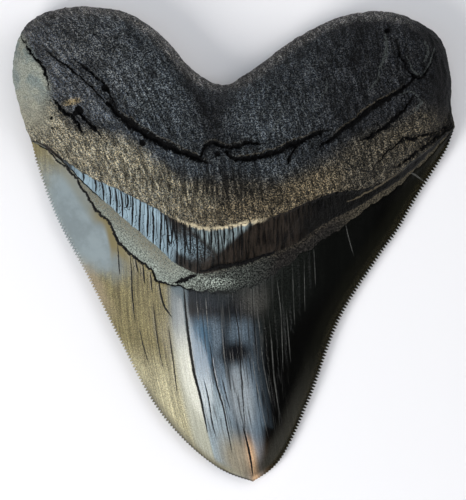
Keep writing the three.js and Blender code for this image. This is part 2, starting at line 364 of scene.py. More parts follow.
class Outline:
    """The curves of the tooth, with jagged enamel hem, and the sides as functions of the height y."""

    def __init__(self):
        root = spline(ROOT_OUTLINE)
        self.left_edge = spline(LEFT_EDGE)
        self.right_edge = spline(RIGHT_EDGE)
        shares = np.linspace(0, 1, 241)
        self.left_flank = along(root, LEFT_LOBE_SHARE * shares)
        self.root_top = along(root, lerp(LEFT_LOBE_SHARE, RIGHT_LOBE_SHARE, shares))
        self.right_flank = along(root, lerp(1, RIGHT_LOBE_SHARE, shares))
        self.all_round = np.vstack([
            along(self.left_edge, shares), along(root, np.linspace(0, 1, 481)),
            along(self.right_edge, shares)[::-1],
        ])
        self.middle = (self.all_round.min(0) + self.all_round.max(0)) / 2
        self.left_side = np.vstack([self.left_edge, self.left_flank])
        self.right_side = np.vstack([self.right_edge, self.right_flank])
        self.enamel_hem = self.jagged(spline(ENAMEL_HEM))
        self.root_hem = spline(ROOT_HEM)
        self.band_hem = spline(BAND_HEM)
        self.back_hem = spline(BACK_HEM)

    def jagged(self, path):
        """The path read finely and pushed up and down by two sizes of noise, still at its ends."""
        fine = along(path, np.linspace(0, 1, 901))
        place = np.column_stack([fine, np.zeros(len(fine))])
        push = 1.1 * noise(place, 3.4, 11, 2) + 1.0 * noise(place, 1.25, 12, 2)
        hold = np.sin(np.pi * np.linspace(0, 1, len(fine))) ** 0.4
        fine[:, 1] += push * hold
        return fine

    def across(self, x, y):
        """-1 on the left side of the tooth, 0 midway and 1 on the right side."""
        left = np.interp(y, self.left_side[:, 1], self.left_side[:, 0])
        right = np.interp(y, self.right_side[:, 1], self.right_side[:, 0])
        return np.clip((x - (left + right) / 2) / np.maximum((right - left) / 2, 0.01), -1, 1)

    def inset(self, x, y):
        """Distance in from the outline."""
        return signed_distance(x, y, along(self.all_round, np.linspace(0, 1, 401)))[0]


def rim_height(y, size):
    """Height of the rim over the table, low along the cutting edges and high round the root."""
    crown = lerp(size.tip_rim, size.cutting_rim, ramp(-65, -20, y))
    return lerp(crown, size.root_rim, ramp(16, 46, y))


def front_height(x, y, outline, inset, size):
    """Rim plus a lens (1 - across^2)^1.12 on the crown, or a rounded plateau with a hill on the root."""
    across = outline.across(x, y)
    above = y - np.interp(x, *spline(ENAMEL_HEM).T)
    lens = (1 - across**2) ** 1.12
    crown = size.crown_rise * (1 - np.exp(-(y - TIP[1]) / 27)) * lens
    plateau = size.lobe_rise + size.centre_rise * bell(x, y, (-2, 15), (31, 21))
    root = plateau * quarter_round(inset / size.front_round)
    dip = size.neck_dip * hump(above - 4, 4) * lens
    return rim_height(y, size) + lerp(crown, root, ramp(-6, 21, above)) - dip


def back_height(x, y, outline, inset, size):
    """Flat under the middle of the crown and under the lobes, turned up to the rim all round."""
    across = np.abs(outline.across(x, y))
    rim = rim_height(y, size)
    turned_up = np.clip((across - 0.42) / 0.58, 0, 1) ** 2
    crown = lerp(rim, rim * turned_up, quarter_round((y - TIP[1]) / 20))
    root = rim * (1 - quarter_round(inset / size.back_round))
    hollow = 2.2 * np.maximum(0, bell(x, y, (-2, 38), (17, 13)) - 0.2)
    return lerp(crown, root, ramp(14, 36, y)) + hollow * ramp(0, size.back_round, inset)


# ---------------------------------------------------------------------------
# The mesh: two sheets over one outline, joined at the rim
# ---------------------------------------------------------------------------

CROWN_ROWS = 126        # one row for each serration of a cutting edge
ROOT_ROWS = 118
FRONT_COLUMNS = 270
BACK_COLUMNS = 90
PER_SERRATION = 4       # fine steps of the rim along one serration
EDGE_STRIP = 1.4        # width of the serrated strip
SAW = [-0.55, 0.15, 0.5, 0.05]      # share of the depth at each fine step of a serration


def rounded_spread(shares, band):
    """Shares that close up towards 0 as the steps of a quarter circle do, over a band of the whole."""
    turn = band * math.pi / 2
    turning = turn / (1 - band + turn)
    round_part = band * (1 - np.cos(np.pi / 2 * np.clip(shares / turning, 0, 1)))
    straight = band + (1 - band) * (shares - turning) / (1 - turning)
    return np.where(shares < turning, round_part, straight)


def column_shares(columns, width, in_root):
    """Share of the way across for each row and column.

    Crown rows step in from both edges by the serrated strip and are even between. Root rows close
    up towards both sides by rounded_spread, so that the rim turns over in even steps.
    """
    even = np.linspace(0, 1, columns + 1)[None, :]
    strip = np.minimum(EDGE_STRIP / np.maximum(width, 0.01), 0.25)[:, None]
    inner = np.clip((np.arange(columns + 1) - 1) / (columns - 2), 0, 1)[None, :]
    crown = strip + (1 - 2 * strip) * inner
    crown[:, 0], crown[:, -1] = 0, 1
    half = rounded_spread(np.minimum(even, 1 - even) * 2, 0.16) / 2
    root = np.where(even <= 0.5, half, 1 - half)
    return lerp(crown, root, in_root[:, None])


def bow(path, shares):
    """How far a path leaves the straight line between its own ends."""
    chord = lerp(path[0], path[-1], np.asarray(shares)[..., None])
    return along(path, shares) - chord


def outward(path, sign):
    """The direction square to a side path and away from the tooth, one for each of its points."""
    tangent = np.gradient(path, axis=0)
    tangent /= np.maximum(np.hypot(*tangent.T), 1e-9)[:, None]
    return np.column_stack([-tangent[:, 1], tangent[:, 0]]) * -sign


class Sheets:
    """Places of both sheets' grids and of the serrated strips, with their vertex numbers."""

    def __init__(self, outline, size):
        self.outline, self.size = outline, size
        self.rows = CROWN_ROWS + ROOT_ROWS
        climb = np.arange(1, ROOT_ROWS + 1) / ROOT_ROWS
        self.root_share = np.concatenate([np.zeros(CROWN_ROWS + 1), 1 - rounded_spread(1 - climb, 0.17)])
        self.crown_share = np.minimum(np.arange(self.rows + 1) / CROWN_ROWS, 1)
        self.left = self.side(outline.left_edge, outline.left_flank)
        self.right = self.side(outline.right_edge, outline.right_flank)
        self.width = width = np.hypot(*(self.right - self.left).T)
        blend = ramp(0, 0.22, self.root_share)
        self.front_shares = column_shares(FRONT_COLUMNS, width, blend)
        self.back_shares = column_shares(BACK_COLUMNS, width, blend)
        self.number()

    def side(self, edge, flank):
        crown = along(edge, self.crown_share[: CROWN_ROWS + 1])
        root = along(flank, self.root_share[CROWN_ROWS + 1:])
        return np.vstack([crown, root])

    def places(self, shares, hem):
        """Straight rows between the sides, bowed to the hem of the enamel and then to the root's top."""
        straight = lerp(self.left[:, None], self.right[:, None], shares[..., None])
        to_hem = (self.crown_share**1.4 * (1 - self.root_share))[:, None, None]
        to_top = self.root_share[:, None, None]
        rows = straight + bow(hem, shares) * to_hem + bow(self.outline.root_top, shares) * to_top
        # Beside a cutting edge the rows stand square to it, so that its strip has one width.
        in_crown = ramp(0.05, 0.2, self.crown_share) * ramp(1, 0.85, self.crown_share)
        for side, sign, away in ((self.left, -1, shares), (self.right, 1, 1 - shares)):
            across = (away * self.width[:, None])[..., None]
            square = side[:, None] - outward(side, sign)[:, None] * across
            fall = (EDGE_STRIP / np.maximum(across, EDGE_STRIP))**0.8
            rows = lerp(rows, square, (fall - 0.2).clip(0) / 0.8 * in_crown[:, None, None])
        return rows

    def number(self):
        """Numbers the vertices. The back sheet shares the front's rim, and the tip is one vertex."""
        rows, out = self.rows, self.outline
        front = self.places(self.front_shares, out.enamel_hem)
        back = self.places(self.back_shares, out.back_hem)
        self.front = np.arange(front[..., 0].size).reshape(front.shape[:2])
        self.front[0] = 0
        self.back = self.front.size + np.arange(back[..., 0].size).reshape(back.shape[:2])
        self.back[0] = 0
        self.back[:, 0], self.back[:, -1] = self.front[:, 0], self.front[:, -1]
        self.back[rows] = self.front[rows, :: FRONT_COLUMNS // BACK_COLUMNS]
        xy = [front.reshape(-1, 2), back.reshape(-1, 2)]
        face = [np.ones(self.front.size), -np.ones(self.back.size)]
        grid = [self.grid_place(self.front.shape), self.grid_place(self.back.shape)]
        steps = np.arange(CROWN_ROWS * PER_SERRATION + 1)
        shares = steps / steps[-1]

        def add_line(places, side, across):
            """Adds a line of vertices along a cutting edge and gives their numbers."""
            ids = sum(len(part) for part in xy) + steps
            xy.append(places)
            face.append(np.full(len(steps), side))
            grid.append(np.column_stack([np.full(len(steps), across), shares * CROWN_ROWS / rows]))
            return ids

        self.strips, row_ends = [], []
        for edge, column, inner_column, sign in ((out.left_edge, 0, 1, -1), (out.right_edge, -1, -2, 1)):
            across = 0.0 if column == 0 else 1.0
            rim = along(edge, shares)
            saw_rim = rim + self.serration(rim, shares, sign)
            rim_ids = add_line(saw_rim, 0.0, across)
            rim_ids[::PER_SERRATION] = self.front[: CROWN_ROWS + 1, column]
            row_ends.append((rim_ids[::PER_SERRATION], saw_rim[::PER_SERRATION]))
            for sheet, ids, side in ((front, self.front, 1), (back, self.back, -1)):
                inner = ids[: CROWN_ROWS + 1, inner_column]
                between = (saw_rim + self.refine(sheet[: CROWN_ROWS + 1, inner_column])) / 2
                middle = add_line(between, 0.5 * side, abs(across - 0.5 / (ids.shape[1] - 1)))
                middle[0], middle[-1] = 0, inner[-1]
                self.strips.append(SimpleNamespace(
                    rim=rim_ids, middle=middle, inner=inner, right=sign > 0, front=side > 0))
        self.xy, self.face, self.grid = np.vstack(xy), np.concatenate(face), np.vstack(grid)
        self.face[np.concatenate([self.front[:, 0], self.front[:, -1], self.front[rows]])] = 0
        # The row ends of the crown stand at the bottom of a serration, as the strips' rims do.
        for ids, places in row_ends:
            self.xy[ids] = places

    def grid_place(self, shape):
        rows, columns = np.indices(shape)
        return np.column_stack([columns.ravel() / (shape[1] - 1), rows.ravel() / (shape[0] - 1)])

    def refine(self, column):
        """A column of the grid read at the fine steps of the rim."""
        at = np.arange((len(column) - 1) * PER_SERRATION + 1) / PER_SERRATION
        return np.stack([np.interp(at, np.arange(len(column)), column[:, k]) for k in (0, 1)], axis=-1)

    def serration(self, rim, shares, sign):
        """Saw teeth along a cutting edge: square to the edge, one for each row, worn towards the ends."""
        saw = np.tile(SAW, CROWN_ROWS + 1)[: len(rim)]
        place = np.column_stack([rim, np.full(len(rim), 3.0)])
        uneven = 1 + 0.35 * noise(place, 1.9, 21, 2)
        chips = np.minimum(noise(place, 4.5, 22, 3) + 0.25, 0) * 1.1
        worn = ramp(-62, -40, rim[:, 1]) if sign < 0 else ramp(-68, -42, rim[:, 1])
        hold = np.clip((1 - shares) * 22, 0, 1) * np.clip(shares * 40, 0, 1)
        depth = self.size.serration_depth * lerp(0.35, 1, worn) * (0.7 if sign < 0 else 0.85)
        push = (depth * saw * uneven + chips * (0.5 if sign < 0 else 0.3)) * hold
        return outward(rim, sign) * push[:, None]


def grid_faces(ids):
    """Two triangles for each cell of a grid of vertex numbers."""
    a, b, c, d = ids[:-1, :-1], ids[:-1, 1:], ids[1:, 1:], ids[1:, :-1]
    return np.concatenate([np.stack(t, -1).reshape(-1, 3) for t in ((a, b, c), (a, c, d))])


def fan_faces(coarse, fine):
    """Triangles between a coarse line and a fine line that runs on its left."""
    per = (len(fine) - 1) // (len(coarse) - 1)
    low = fine[:-1].reshape(-1, per)
    high = fine[1:].reshape(-1, per)
    apex = np.where(np.arange(per) < per // 2, coarse[:-1, None], coarse[1:, None])
    fans = np.stack([apex, high, low], -1).reshape(-1, 3)
    closing = np.stack([coarse[:-1], coarse[1:], low[:, per // 2]], -1)
    return np.concatenate([fans, closing])


def sheet_faces(sheets):
    """All triangles, front first, and how many of them belong to the front."""
    front_parts = [
        grid_faces(sheets.front[: CROWN_ROWS + 1, 1:-1]),
        grid_faces(sheets.front[CROWN_ROWS:]),
    ]
    back_parts = [
        grid_faces(sheets.back[: CROWN_ROWS + 1, 1:-1])[:, ::-1],
        grid_faces(sheets.back[CROWN_ROWS: sheets.rows])[:, ::-1],
        fan_faces(sheets.back[sheets.rows - 1], sheets.front[sheets.rows])[:, ::-1],
    ]
    for strip in sheets.strips:
        pair = (strip.middle, strip.rim) if strip.right else (strip.rim, strip.middle)
        teeth = grid_faces(np.stack(pair, axis=1))
        fans = fan_faces(strip.inner, strip.middle)
        both = np.concatenate([teeth, fans[:, ::-1] if strip.right else fans])
        (front_parts if strip.front else back_parts).append(both if strip.front else both[:, ::-1])
    front, back = np.concatenate(front_parts), np.concatenate(back_parts)

    def whole(faces):
        a, b, c = faces.T
        return faces[(a != b) & (b != c) & (c != a)]

    front, back = whole(front), whole(back)
    return np.concatenate([front, back]), len(front)


def vertex_normals(points, faces):
    """Area-weighted sum of the normals of the triangles round each vertex."""
    corners = points[faces]
    normal = np.cross(corners[:, 1] - corners[:, 0], corners[:, 2] - corners[:, 0])
    total = np.column_stack([
        np.bincount(faces.ravel(), np.repeat(normal[:, k], 3), len(points)) for k in range(3)
    ])
    return total / np.maximum(np.linalg.norm(total, axis=1), 1e-12)[:, None]


# ---------------------------------------------------------------------------
# Relief and the masks that the finishes read
# ---------------------------------------------------------------------------

def fibre_place(x, y, z):
    """Places turned to run with the root's fibres, which lean over more towards the left lobe."""
    lean = 0.2 + 0.42 * ramp(10, -60, x)
    return np.column_stack([x + lean * (y - 25), y - 0.3 * lean * x, z])


def flow_place(x, y, z):
    """Places turned to run with the crown's growth lines, which bend to the right towards the tip."""
    drop = np.maximum(0, -8 - y)
    bend = 0.0026 * drop**2 * np.clip(1 - 0.022 * x, 0.35, 1.7)
    return np.column_stack([x - bend, y, z])


def oval(x, y, centre, reach, turn=0.0, soft=0.5):
    """1 inside a turned oval and 0 outside it, with a soft edge."""
    c, s = math.cos(math.radians(turn)), math.sin(math.radians(turn))
    dx, dy = x - centre[0], y - centre[1]
    r = np.hypot((dx * c + dy * s) / reach[0], (dy * c - dx * s) / reach[1])
    return 1 - ramp(1 - soft, 1 + soft, r)


def cleat_cracks(outline):
    """The short upright cracks that cut the pale arm of the neck band into cleats."""
    made = []
    for x, lean, reach in CLEATS:
        top = np.interp(x, *outline.root_hem.T) - 0.1
        foot = top + (np.interp(x + lean, *outline.band_hem.T) - top) * reach
        bend = (x + 0.7 * lean + 0.15, (top + foot) / 2)
        made.append((0.4, 0.5, (x, top), bend, (x + lean, foot)))
    return made


def surface_fields(sheets, base, inset):
    """Every field that the relief and the finishes share, by name, one value for each vertex."""
    x, y, z = base.T
    out = sheets.outline
    is_back = sheets.face < 0
    push = [0.28 * noise(base, 1.7, seed, 2) + 0.16 * noise(base, 0.6, seed + 1, 1) for seed in (31, 33)]
    jx, jy = x + push[0], y + push[1]
    on_back = height_over(x, y, out.back_hem)
    f = {
        "over_root_hem": np.where(is_back, on_back - 2.2, height_over(jx, jy, out.root_hem)),
        "over_band_hem": np.where(is_back, on_back - 1.6, height_over(jx, jy, out.band_hem)),
        "over_enamel_hem": np.where(is_back, on_back, height_over(x, y, out.enamel_hem)),
        "fibre": fibre_place(x, y, z),
        "flow": flow_place(x, y, z),
        "inset": inset,
    }
    # One more crack follows the left part of the enamel's hem.
    hem = (0.58, 0.35, *along(out.enamel_hem, np.linspace(0.012, 0.41, 240)))
    for name, cracks, rag in (
        ("root_crack", ROOT_CRACKS, 1.9), ("neck_crack", NECK_CRACKS, 1.3),
        ("enamel_crack", ENAMEL_CRACKS, 0.2), ("bright_split", BRIGHT_SPLITS, 0.14),
        ("cleat", cleat_cracks(out), 0.35), ("vein", PALE_VEINS, 1.2), ("hem_crack", [hem], 0.5),
    ):
        cx, cy = x + rag * push[0], y + rag * push[1]
        signed, near, half = crack_field(cx, cy, cracks, bends=1 if name == "hem_crack" else 8)
        f[name] = np.where(is_back, CRACK_REACH, signed)
        f[name + "_near"] = np.where(is_back, CRACK_REACH, near)
        f[name + "_half"] = np.where(is_back, 0, half)
    pit = np.zeros(len(x))
    for px, py, radius, depth in PITS:
        pit = np.maximum(pit, np.where(is_back, 0, depth * bell(jx, jy, (px, py), (radius, radius))))
    f["pit"] = pit
    return f


def groove(f, name, reach):
    """Depth of a crack's groove: 1 on its line, a bell of its half width across, fading at its ends."""
    half = f[name + "_half"]
    wide = reach * np.maximum(half, 0.14)
    return hump(f[name], wide) * (f[name + "_near"] < half + 0.7) * np.minimum(half / 0.25, 1)


def relief(f, base, face, size):
    """Height of the fine surface over the smooth form, in millimetres."""
    x, y, _ = base.T
    crown = 1 - ramp(-0.05, 0.05, f["over_enamel_hem"])
    root = ramp(-0.25, 0.35, f["over_root_hem"])
    neck = (1 - crown) * (1 - root)
    grain = noise(f["fibre"], (0.9, 2.6, 1.2), 41, 3, 0.6)
    lumps = noise(base, 7.5, 42, 3)
    ridges = 1 - 2 * np.abs(noise(f["fibre"], (1.7, 9.0, 3.0), 43, 2))
    swell = noise(base, 17.0, 44, 2)
    h = root * (size.grain_height * grain + 0.30 * lumps + 0.34 * ridges + 0.40 * swell)
    h += neck * (0.08 * noise(base, 1.3, 45, 3) + 0.05 * grain)
    lines = noise(f["flow"], (0.8, 30.0, 8.0), 46, 2)
    ribs = noise(f["flow"], (5.0, 60.0, 20.0), 47, 2)
    smooth_cheek = oval(x, y, (-41.5, 4), (11.5, 22), 27, 0.4)
    line_height = lerp(0.010, 0.028, ramp(-16, -10, f["flow"][:, 0]))
    fine = (line_height * lines + 0.06 * ribs) * ramp(0.5, 5, f["inset"])
    h += crown * fine * (1 - 0.85 * smooth_cheek)
    h += root * 0.45 * ramp(1, 8, f["inset"])       # the root's hem stands over the neck band
    band = ramp(-0.3, 0.3, f["over_band_hem"]) * neck
    h += 0.16 * band + crown * 0.14                       # thin glaze of the band, thicker enamel
    away = f["root_crack"] - f["root_crack_half"]
    lip = hump(away - 0.45, 0.45) * (f["root_crack_near"] < 2.4) * np.minimum(f["root_crack_half"], 1)
    h += 0.35 * lip * (face >= 0)
    for name, depth, reach, where in (
        ("root_crack", 1.15, 0.75, 1), ("neck_crack", 0.55, 0.9, 1), ("hem_crack", 0.30, 0.8, 1),
        ("enamel_crack", 0.14, 0.7, crown), ("bright_split", 0.02, 1.0, crown), ("cleat", 0.20, 0.8, neck),
        ("vein", -0.16, 1.4, root),
    ):
        h -= size.crack_depth * depth * groove(f, name, reach) * where
    h -= f["pit"]
    edge = ramp(0.0, 2.2, f["inset"])
    keep = np.where(y < 26, edge, lerp(edge, 1, ramp(26, 34, y)))
    down = ramp(0.2, 1.6, base[:, 2])               # nothing reaches below the resting plane
    return h * keep * np.where(face < 0, down, 1)


# Stains, painted shade, painted highlights and painted reflections that only the inner face of the tooth
# has.
FRONT_ONLY_MARKS = (
    "keystone", "hem_glint", "scuff", "highlight_stripe", "patch", "arm", "tan", "mottle", "seam", "tip_grey", "olive_rim_reflection",
)


def colour_masks(f, base, face):
    """Where each stain, painted shade, painted highlight and painted reflection of the fossil lies, by
    name, from 0 to 1.
    """
    x, y, _ = base.T
    ragged = 1.3 * noise(base, 5.0, 61)
    masks = {}
    for part in (root_masks, neck_masks, crown_masks):
        masks.update(part(f, x, y, ragged))
    for name in FRONT_ONLY_MARKS:
        masks[name] = np.where(face < 0, 0, masks[name])
    return {name: np.clip(value, 0, 1) for name, value in masks.items()}


def root_masks(f, x, y, ragged):
    """The root's stains, painted shade and painted highlights, from its hem, its rim and places across it.
    """
    over_hem, inset, rx = f["over_root_hem"], f["inset"], x + ragged
    fold = signed_distance(x, y, spline(FOLD))[0]
    flank = np.interp(y, *np.transpose(FLANK_EDGE))
    blur = lerp(3.2, 0.9, ramp(36, 46, y))
    hem_strip = ramp(8.5, 4.0, over_hem + 0.7 * ragged)
    tan = hem_strip * span(x, -26, -8, 20, 33) * lerp(0.7, 1, ramp(10, 20, x))
    return {
        "charcoal": ramp(-3.5, 2.5, y + ragged - np.interp(x, *np.transpose(COAL_HEM))),
        "night": ramp(0, 34, x + 3 * ragged),
        "dusk": ramp(-15, 0, x + 0.9 * (y - 12) + 2 * ragged),
        # Painted shadow along the fold line, with a faint dark band at its foot.
        "seam": 0.85 * hump(fold, 2.4) + 0.15 * bell(x, y, (0, 23), (12, 3)),
        "ash": ramp(-18, -52, x + 3 * ragged),
        # Painted shade in the cleft between the lobes and on the slopes beside it.
        "notch_shade": 0.9 * bell(x, y, (-5, 37), (6.5, 12)) + 0.45 * bell(x, y, (-22, 53), (11, 8))
        + 0.4 * bell(x, y, (18, 46), (8, 8)),
        # Partly rubbed polish, partly a painted sheen where the rim would reflect the sky light.
        "rim_polish_and_sheen": ramp(3.8, 1.2, inset + 0.5 * ragged) * ramp(40, 44, y) * ramp(52, 42, x),
        # The pale left flank: partly its own polished colour, partly painted light on the side that faces
        # the key light.
        "lit_pale_flank": ramp(1, -1, (x + 0.6 * ragged - flank) / blur) * ramp(28, 36, y),
        "flank_tan": ramp(46, 34, y + 1.5 * ragged),
        # Painted shade on the right flank of the root, the side away from the key light.
        "flank_shade": ramp(50, 56, rx + 0.1 * (y - 40)) * ramp(20, 30, y),
        "rust": oval(x, y, (-44.3, 38.9), (2.3, 0.8), 12, 0.6),
        "tan": np.maximum(tan, 0.15 * oval(x, y + ragged, (47, 29.8), (9, 3.6), 30, 0.6)),
        "sand": ramp(8.5, 3, over_hem + ragged) * ramp(-34, -22, x) * ramp(-5, -14, rx),
        # Painted highlight along the root's hem where it faces the key light.
        "hem_glint": span(over_hem, -0.55, -0.35, 0.45, 0.75) * span(x, -16.5, -13.5, 6, 9.5),
        "drips": bell(x, y, (-5, 16.5), (18, 7.5)),
    }


def neck_masks(f, x, y, ragged):
    """Stains of the neck band, of the dull strip below it and of the enamel's hem."""
    over_hem, rx = f["over_band_hem"], x + ragged
    over_enamel = height_over(x, y, spline(ENAMEL_HEM))
    wedge = x + 4.4
    sill = ramp(4.2, 2.4, over_hem + 0.4 * ragged) * ramp(-19, -15, x)
    mottle = bell(x, y, (-11.5, 0), (4.5, 3.4)) * ramp(-1, -2.6, wedge + 1.15 * (y + 1.9))
    crumbs = ramp(-5, -1, over_hem + ragged) * ramp(-12, -22, x)
    hem_tan = ramp(-3.6, -1, over_enamel + 0.5 * ragged) * ramp(-24, -31, x)
    return {
        "arm": ramp(-11.6, -15, x + 0.62 * (y + 2)) * ramp(-48, -41, x) * (1 - sill),
        "mottle": 0.85 * mottle * (1 - 0.8 * sill),
        "keystone": ramp(1.2, -0.8, np.abs(wedge) - 1.15 * (y + 1.9)) * ramp(-13.5, -11.5, x),
        "matte_neck": ramp(-5, -16, rx),
        "grey_neck": ramp(12, 4, rx),
        "dust": bell(x, over_enamel + ragged, (1, -0.6), (11.5, 2.3)),
        "pale_dull": 0.5 * bell(x, y, (-5.5, -10.4), (4.5, 1.7)),
        "crumbs": np.maximum(crumbs, 0.45 * ramp(26, 36, x)),
        "hem_tan": hem_tan * lerp(0.35, 1, ramp(-41, -36, x)),
        "band_edge": hump(over_hem + 0.3, 0.8),
        "upper": ramp(-18, -8, over_enamel) * lerp(0.25, 1, ramp(26, 14, x)) * ramp(42, 34, x),
    }


def crown_masks(f, x, y, ragged):
    """The enamel's stains, painted highlights, painted reflections and painted shade. Those that follow its
    growth lines use the place along the flow.
    """
    inset, along_x = f["inset"], f["flow"][:, 0]
    reflecting_cheek = oval(x, y, (-42, 5.2), (10.2, 18.5), 27, 0.4)
    dull_edge = ramp(-14, -19, along_x) * ramp(-60, -48, y)
    dull_top = ramp(-24, -17, y) * ramp(-15, -13, along_x) * ramp(12, 6, x)
    dark_tip = ramp(5.4, 9, x) * ramp(-46, -51, y)
    sky_end = ramp(-6.2, -10, along_x - 2.4 * ramp(-36, -46, y))
    ember = x - 2.9 + 0.2 * (49.6 + y)
    return {
        "dark_side": np.maximum(ramp(0, 8, along_x), dark_tip),
        # Painted sky reflection on the smooth enamel at the upper left of the crown.
        "reflecting_cheek": reflecting_cheek * ramp(-11.5, -4, y + 0.4 * (x + 36) + ragged),
        "khaki": ramp(-13.2, -13.8, along_x),
        "dull_enamel": np.maximum(dull_edge, dull_top),
        # Partly a pale stain, partly a painted highlight where the key light falls on the lower left of the
        # crown.
        "pallor_and_highlight": ramp(-30.5, -43, y + 0.2 * x) * ramp(-12, -13.5, along_x),
        # Painted highlight: the pale stripe left of the long crack where the key light would glint, dim
        # just under the neck band and bright lower down.
        "highlight_stripe": ramp(-19.5, -16.5, along_x) * ramp(-12.6, -13.6, along_x),
        "lit": ramp(-19, -33, y),
        # Painted reflection of the bluish sky light: a blue stripe right of the long crack, whitening
        # towards the tip.
        "sky": ramp(-13.9, -13.3, along_x) * sky_end * ramp(-18, -25, y),
        "milky_reflection": ramp(-31, -43, y),
        # Painted shade over the slate middle: full just under the neck band, half further down, none near
        # the tip.
        "shade": lerp(0.5 * ramp(-40, -33, y), 1, ramp(-23.5, -18, y)) * ramp(-14, -12.5, along_x),
        # Painted highlight: a pale patch low in the middle of the crown.
        "patch": 0.9 * oval(x, y, (1.8, -42), (3.3, 8.6), 10, 0.5),
        "gap": oval(x, y, (0.2, -29.4), (4.4, 3), 8, 0.6),
        "edge_tan": ramp(3.8, 0.8, inset + ragged) * span(y, -24, -12, -5, 3) * ramp(0, -10, x),
        "edge_line": ramp(0.6, 0.2, inset) * ramp(-34, -44, y) * ramp(8, 2, x),
        "scuff": 0.85 * oval(x + ragged, y + ragged, (4.4, -14.2), (3.4, 4.4), 0, 0.9),
        "ember": (0.75 * hump(ember, 1.1) + 0.15 * hump(ember, 3.4)) * ramp(-50, -57, y),
        "tip_grey": oval(x, y, (0.8, -59), (4, 7), 20, 0.6),
        # Painted reflection along the lower left rim of the crown.
        "olive_rim_reflection": ramp(2.4, 0.6, inset) * ramp(-28, -44, y) * ramp(4, -2, x),
        "lined": span(along_x, -14, -12, 5, 16) * ramp(-60, -44, y),
        "bevel": span(inset, 0.6, 1.6, 2.6, 6.5) * ramp(0, 10, x),
        "tipward": ramp(-25, -56, y),
        "worn_edge": ramp(2.8, 0.4, inset) * ramp(30, 26, y),
    }


def build_tooth_mesh(size):
    """The whole closed surface of the tooth, with its masks as attributes."""
    outline = Outline()
    sheets = Sheets(outline, size)
    faces, front_count = sheet_faces(sheets)
    used, faces = np.unique(faces, return_inverse=True)
    faces = faces.reshape(-1, 3)
    sheets.xy, sheets.face, sheets.grid = sheets.xy[used], sheets.face[used], sheets.grid[used]
    x, y = sheets.xy.T
    inset = outline.inset(x, y)
    z = np.where(sheets.face > 0, front_height(x, y, outline, inset, size), rim_height(y, size))
    z = np.where(sheets.face < 0, back_height(x, y, outline, inset, size), z)
    base = np.column_stack([x, y, z])
    fields = surface_fields(sheets, base, inset)
    normals = vertex_normals(base, faces)
    points = base + normals * relief(fields, base, sheets.face, size)[:, None]
    points[:, 2] = np.maximum(points[:, 2], 0)
    points[:, :2] -= outline.middle
    masks = colour_masks(fields, base, sheets.face)
    mesh = bpy.data.meshes.new("fossil_tooth")
    fill_mesh(mesh, points * MM, faces)
    for name, values in {**fields, **masks}.items():
        kind = "FLOAT_VECTOR" if values.ndim == 2 else "FLOAT"
        held = mesh.attributes.new(name, kind, "POINT")
        held.data.foreach_set("vector" if values.ndim == 2 else "value", values.astype(np.float32).ravel())
    lay_out_map(mesh, sheets.grid, faces, front_count)
    slots = crown_faces(fields, faces)
    mesh.polygons.foreach_set("material_index", slots.astype(np.int32))
    mesh.set_sharp_from_angle(angle=math.radians(SHARP_ANGLE))
    mesh.update()
    return mesh


def crown_faces(fields, faces):
    """1 for the triangles below the hem of the enamel, which are enamel, and 0 for the others."""
    return (fields["over_enamel_hem"][faces].mean(axis=1) < 0).astype(int)


def fill_mesh(mesh, points, faces):
    """Puts whole arrays of points and triangles into an empty mesh, smoothly shaded."""
    mesh.vertices.add(len(points))
    mesh.vertices.foreach_set("co", points.astype(np.float32).ravel())
    mesh.loops.add(faces.size)
    mesh.loops.foreach_set("vertex_index", faces.astype(np.int32).ravel())
    mesh.polygons.add(len(faces))
    mesh.polygons.foreach_set("loop_start", np.arange(0, faces.size, 3, dtype=np.int32))
    mesh.polygons.foreach_set("use_smooth", np.ones(len(faces), bool))
    mesh.update(calc_edges=True)
    mesh.validate()


def lay_out_map(mesh, grid, faces, front_count):
    """A map with the front sheet in its left half and the back sheet in its right half."""
    layer = mesh.uv_layers.new(name="OFBake")
    uv = grid[faces.ravel()]
    gap = 0.004
    uv[:, 0] = gap + uv[:, 0] * (0.5 - 2 * gap)
    uv[front_count * 3:, 0] = 1 - uv[front_count * 3:, 0]
    uv[:, 1] = gap + uv[:, 1] * (1 - 2 * gap)
    layer.data.foreach_set("uv", uv.astype(np.float32).ravel())


# ---------------------------------------------------------------------------
# Finishes
# ---------------------------------------------------------------------------

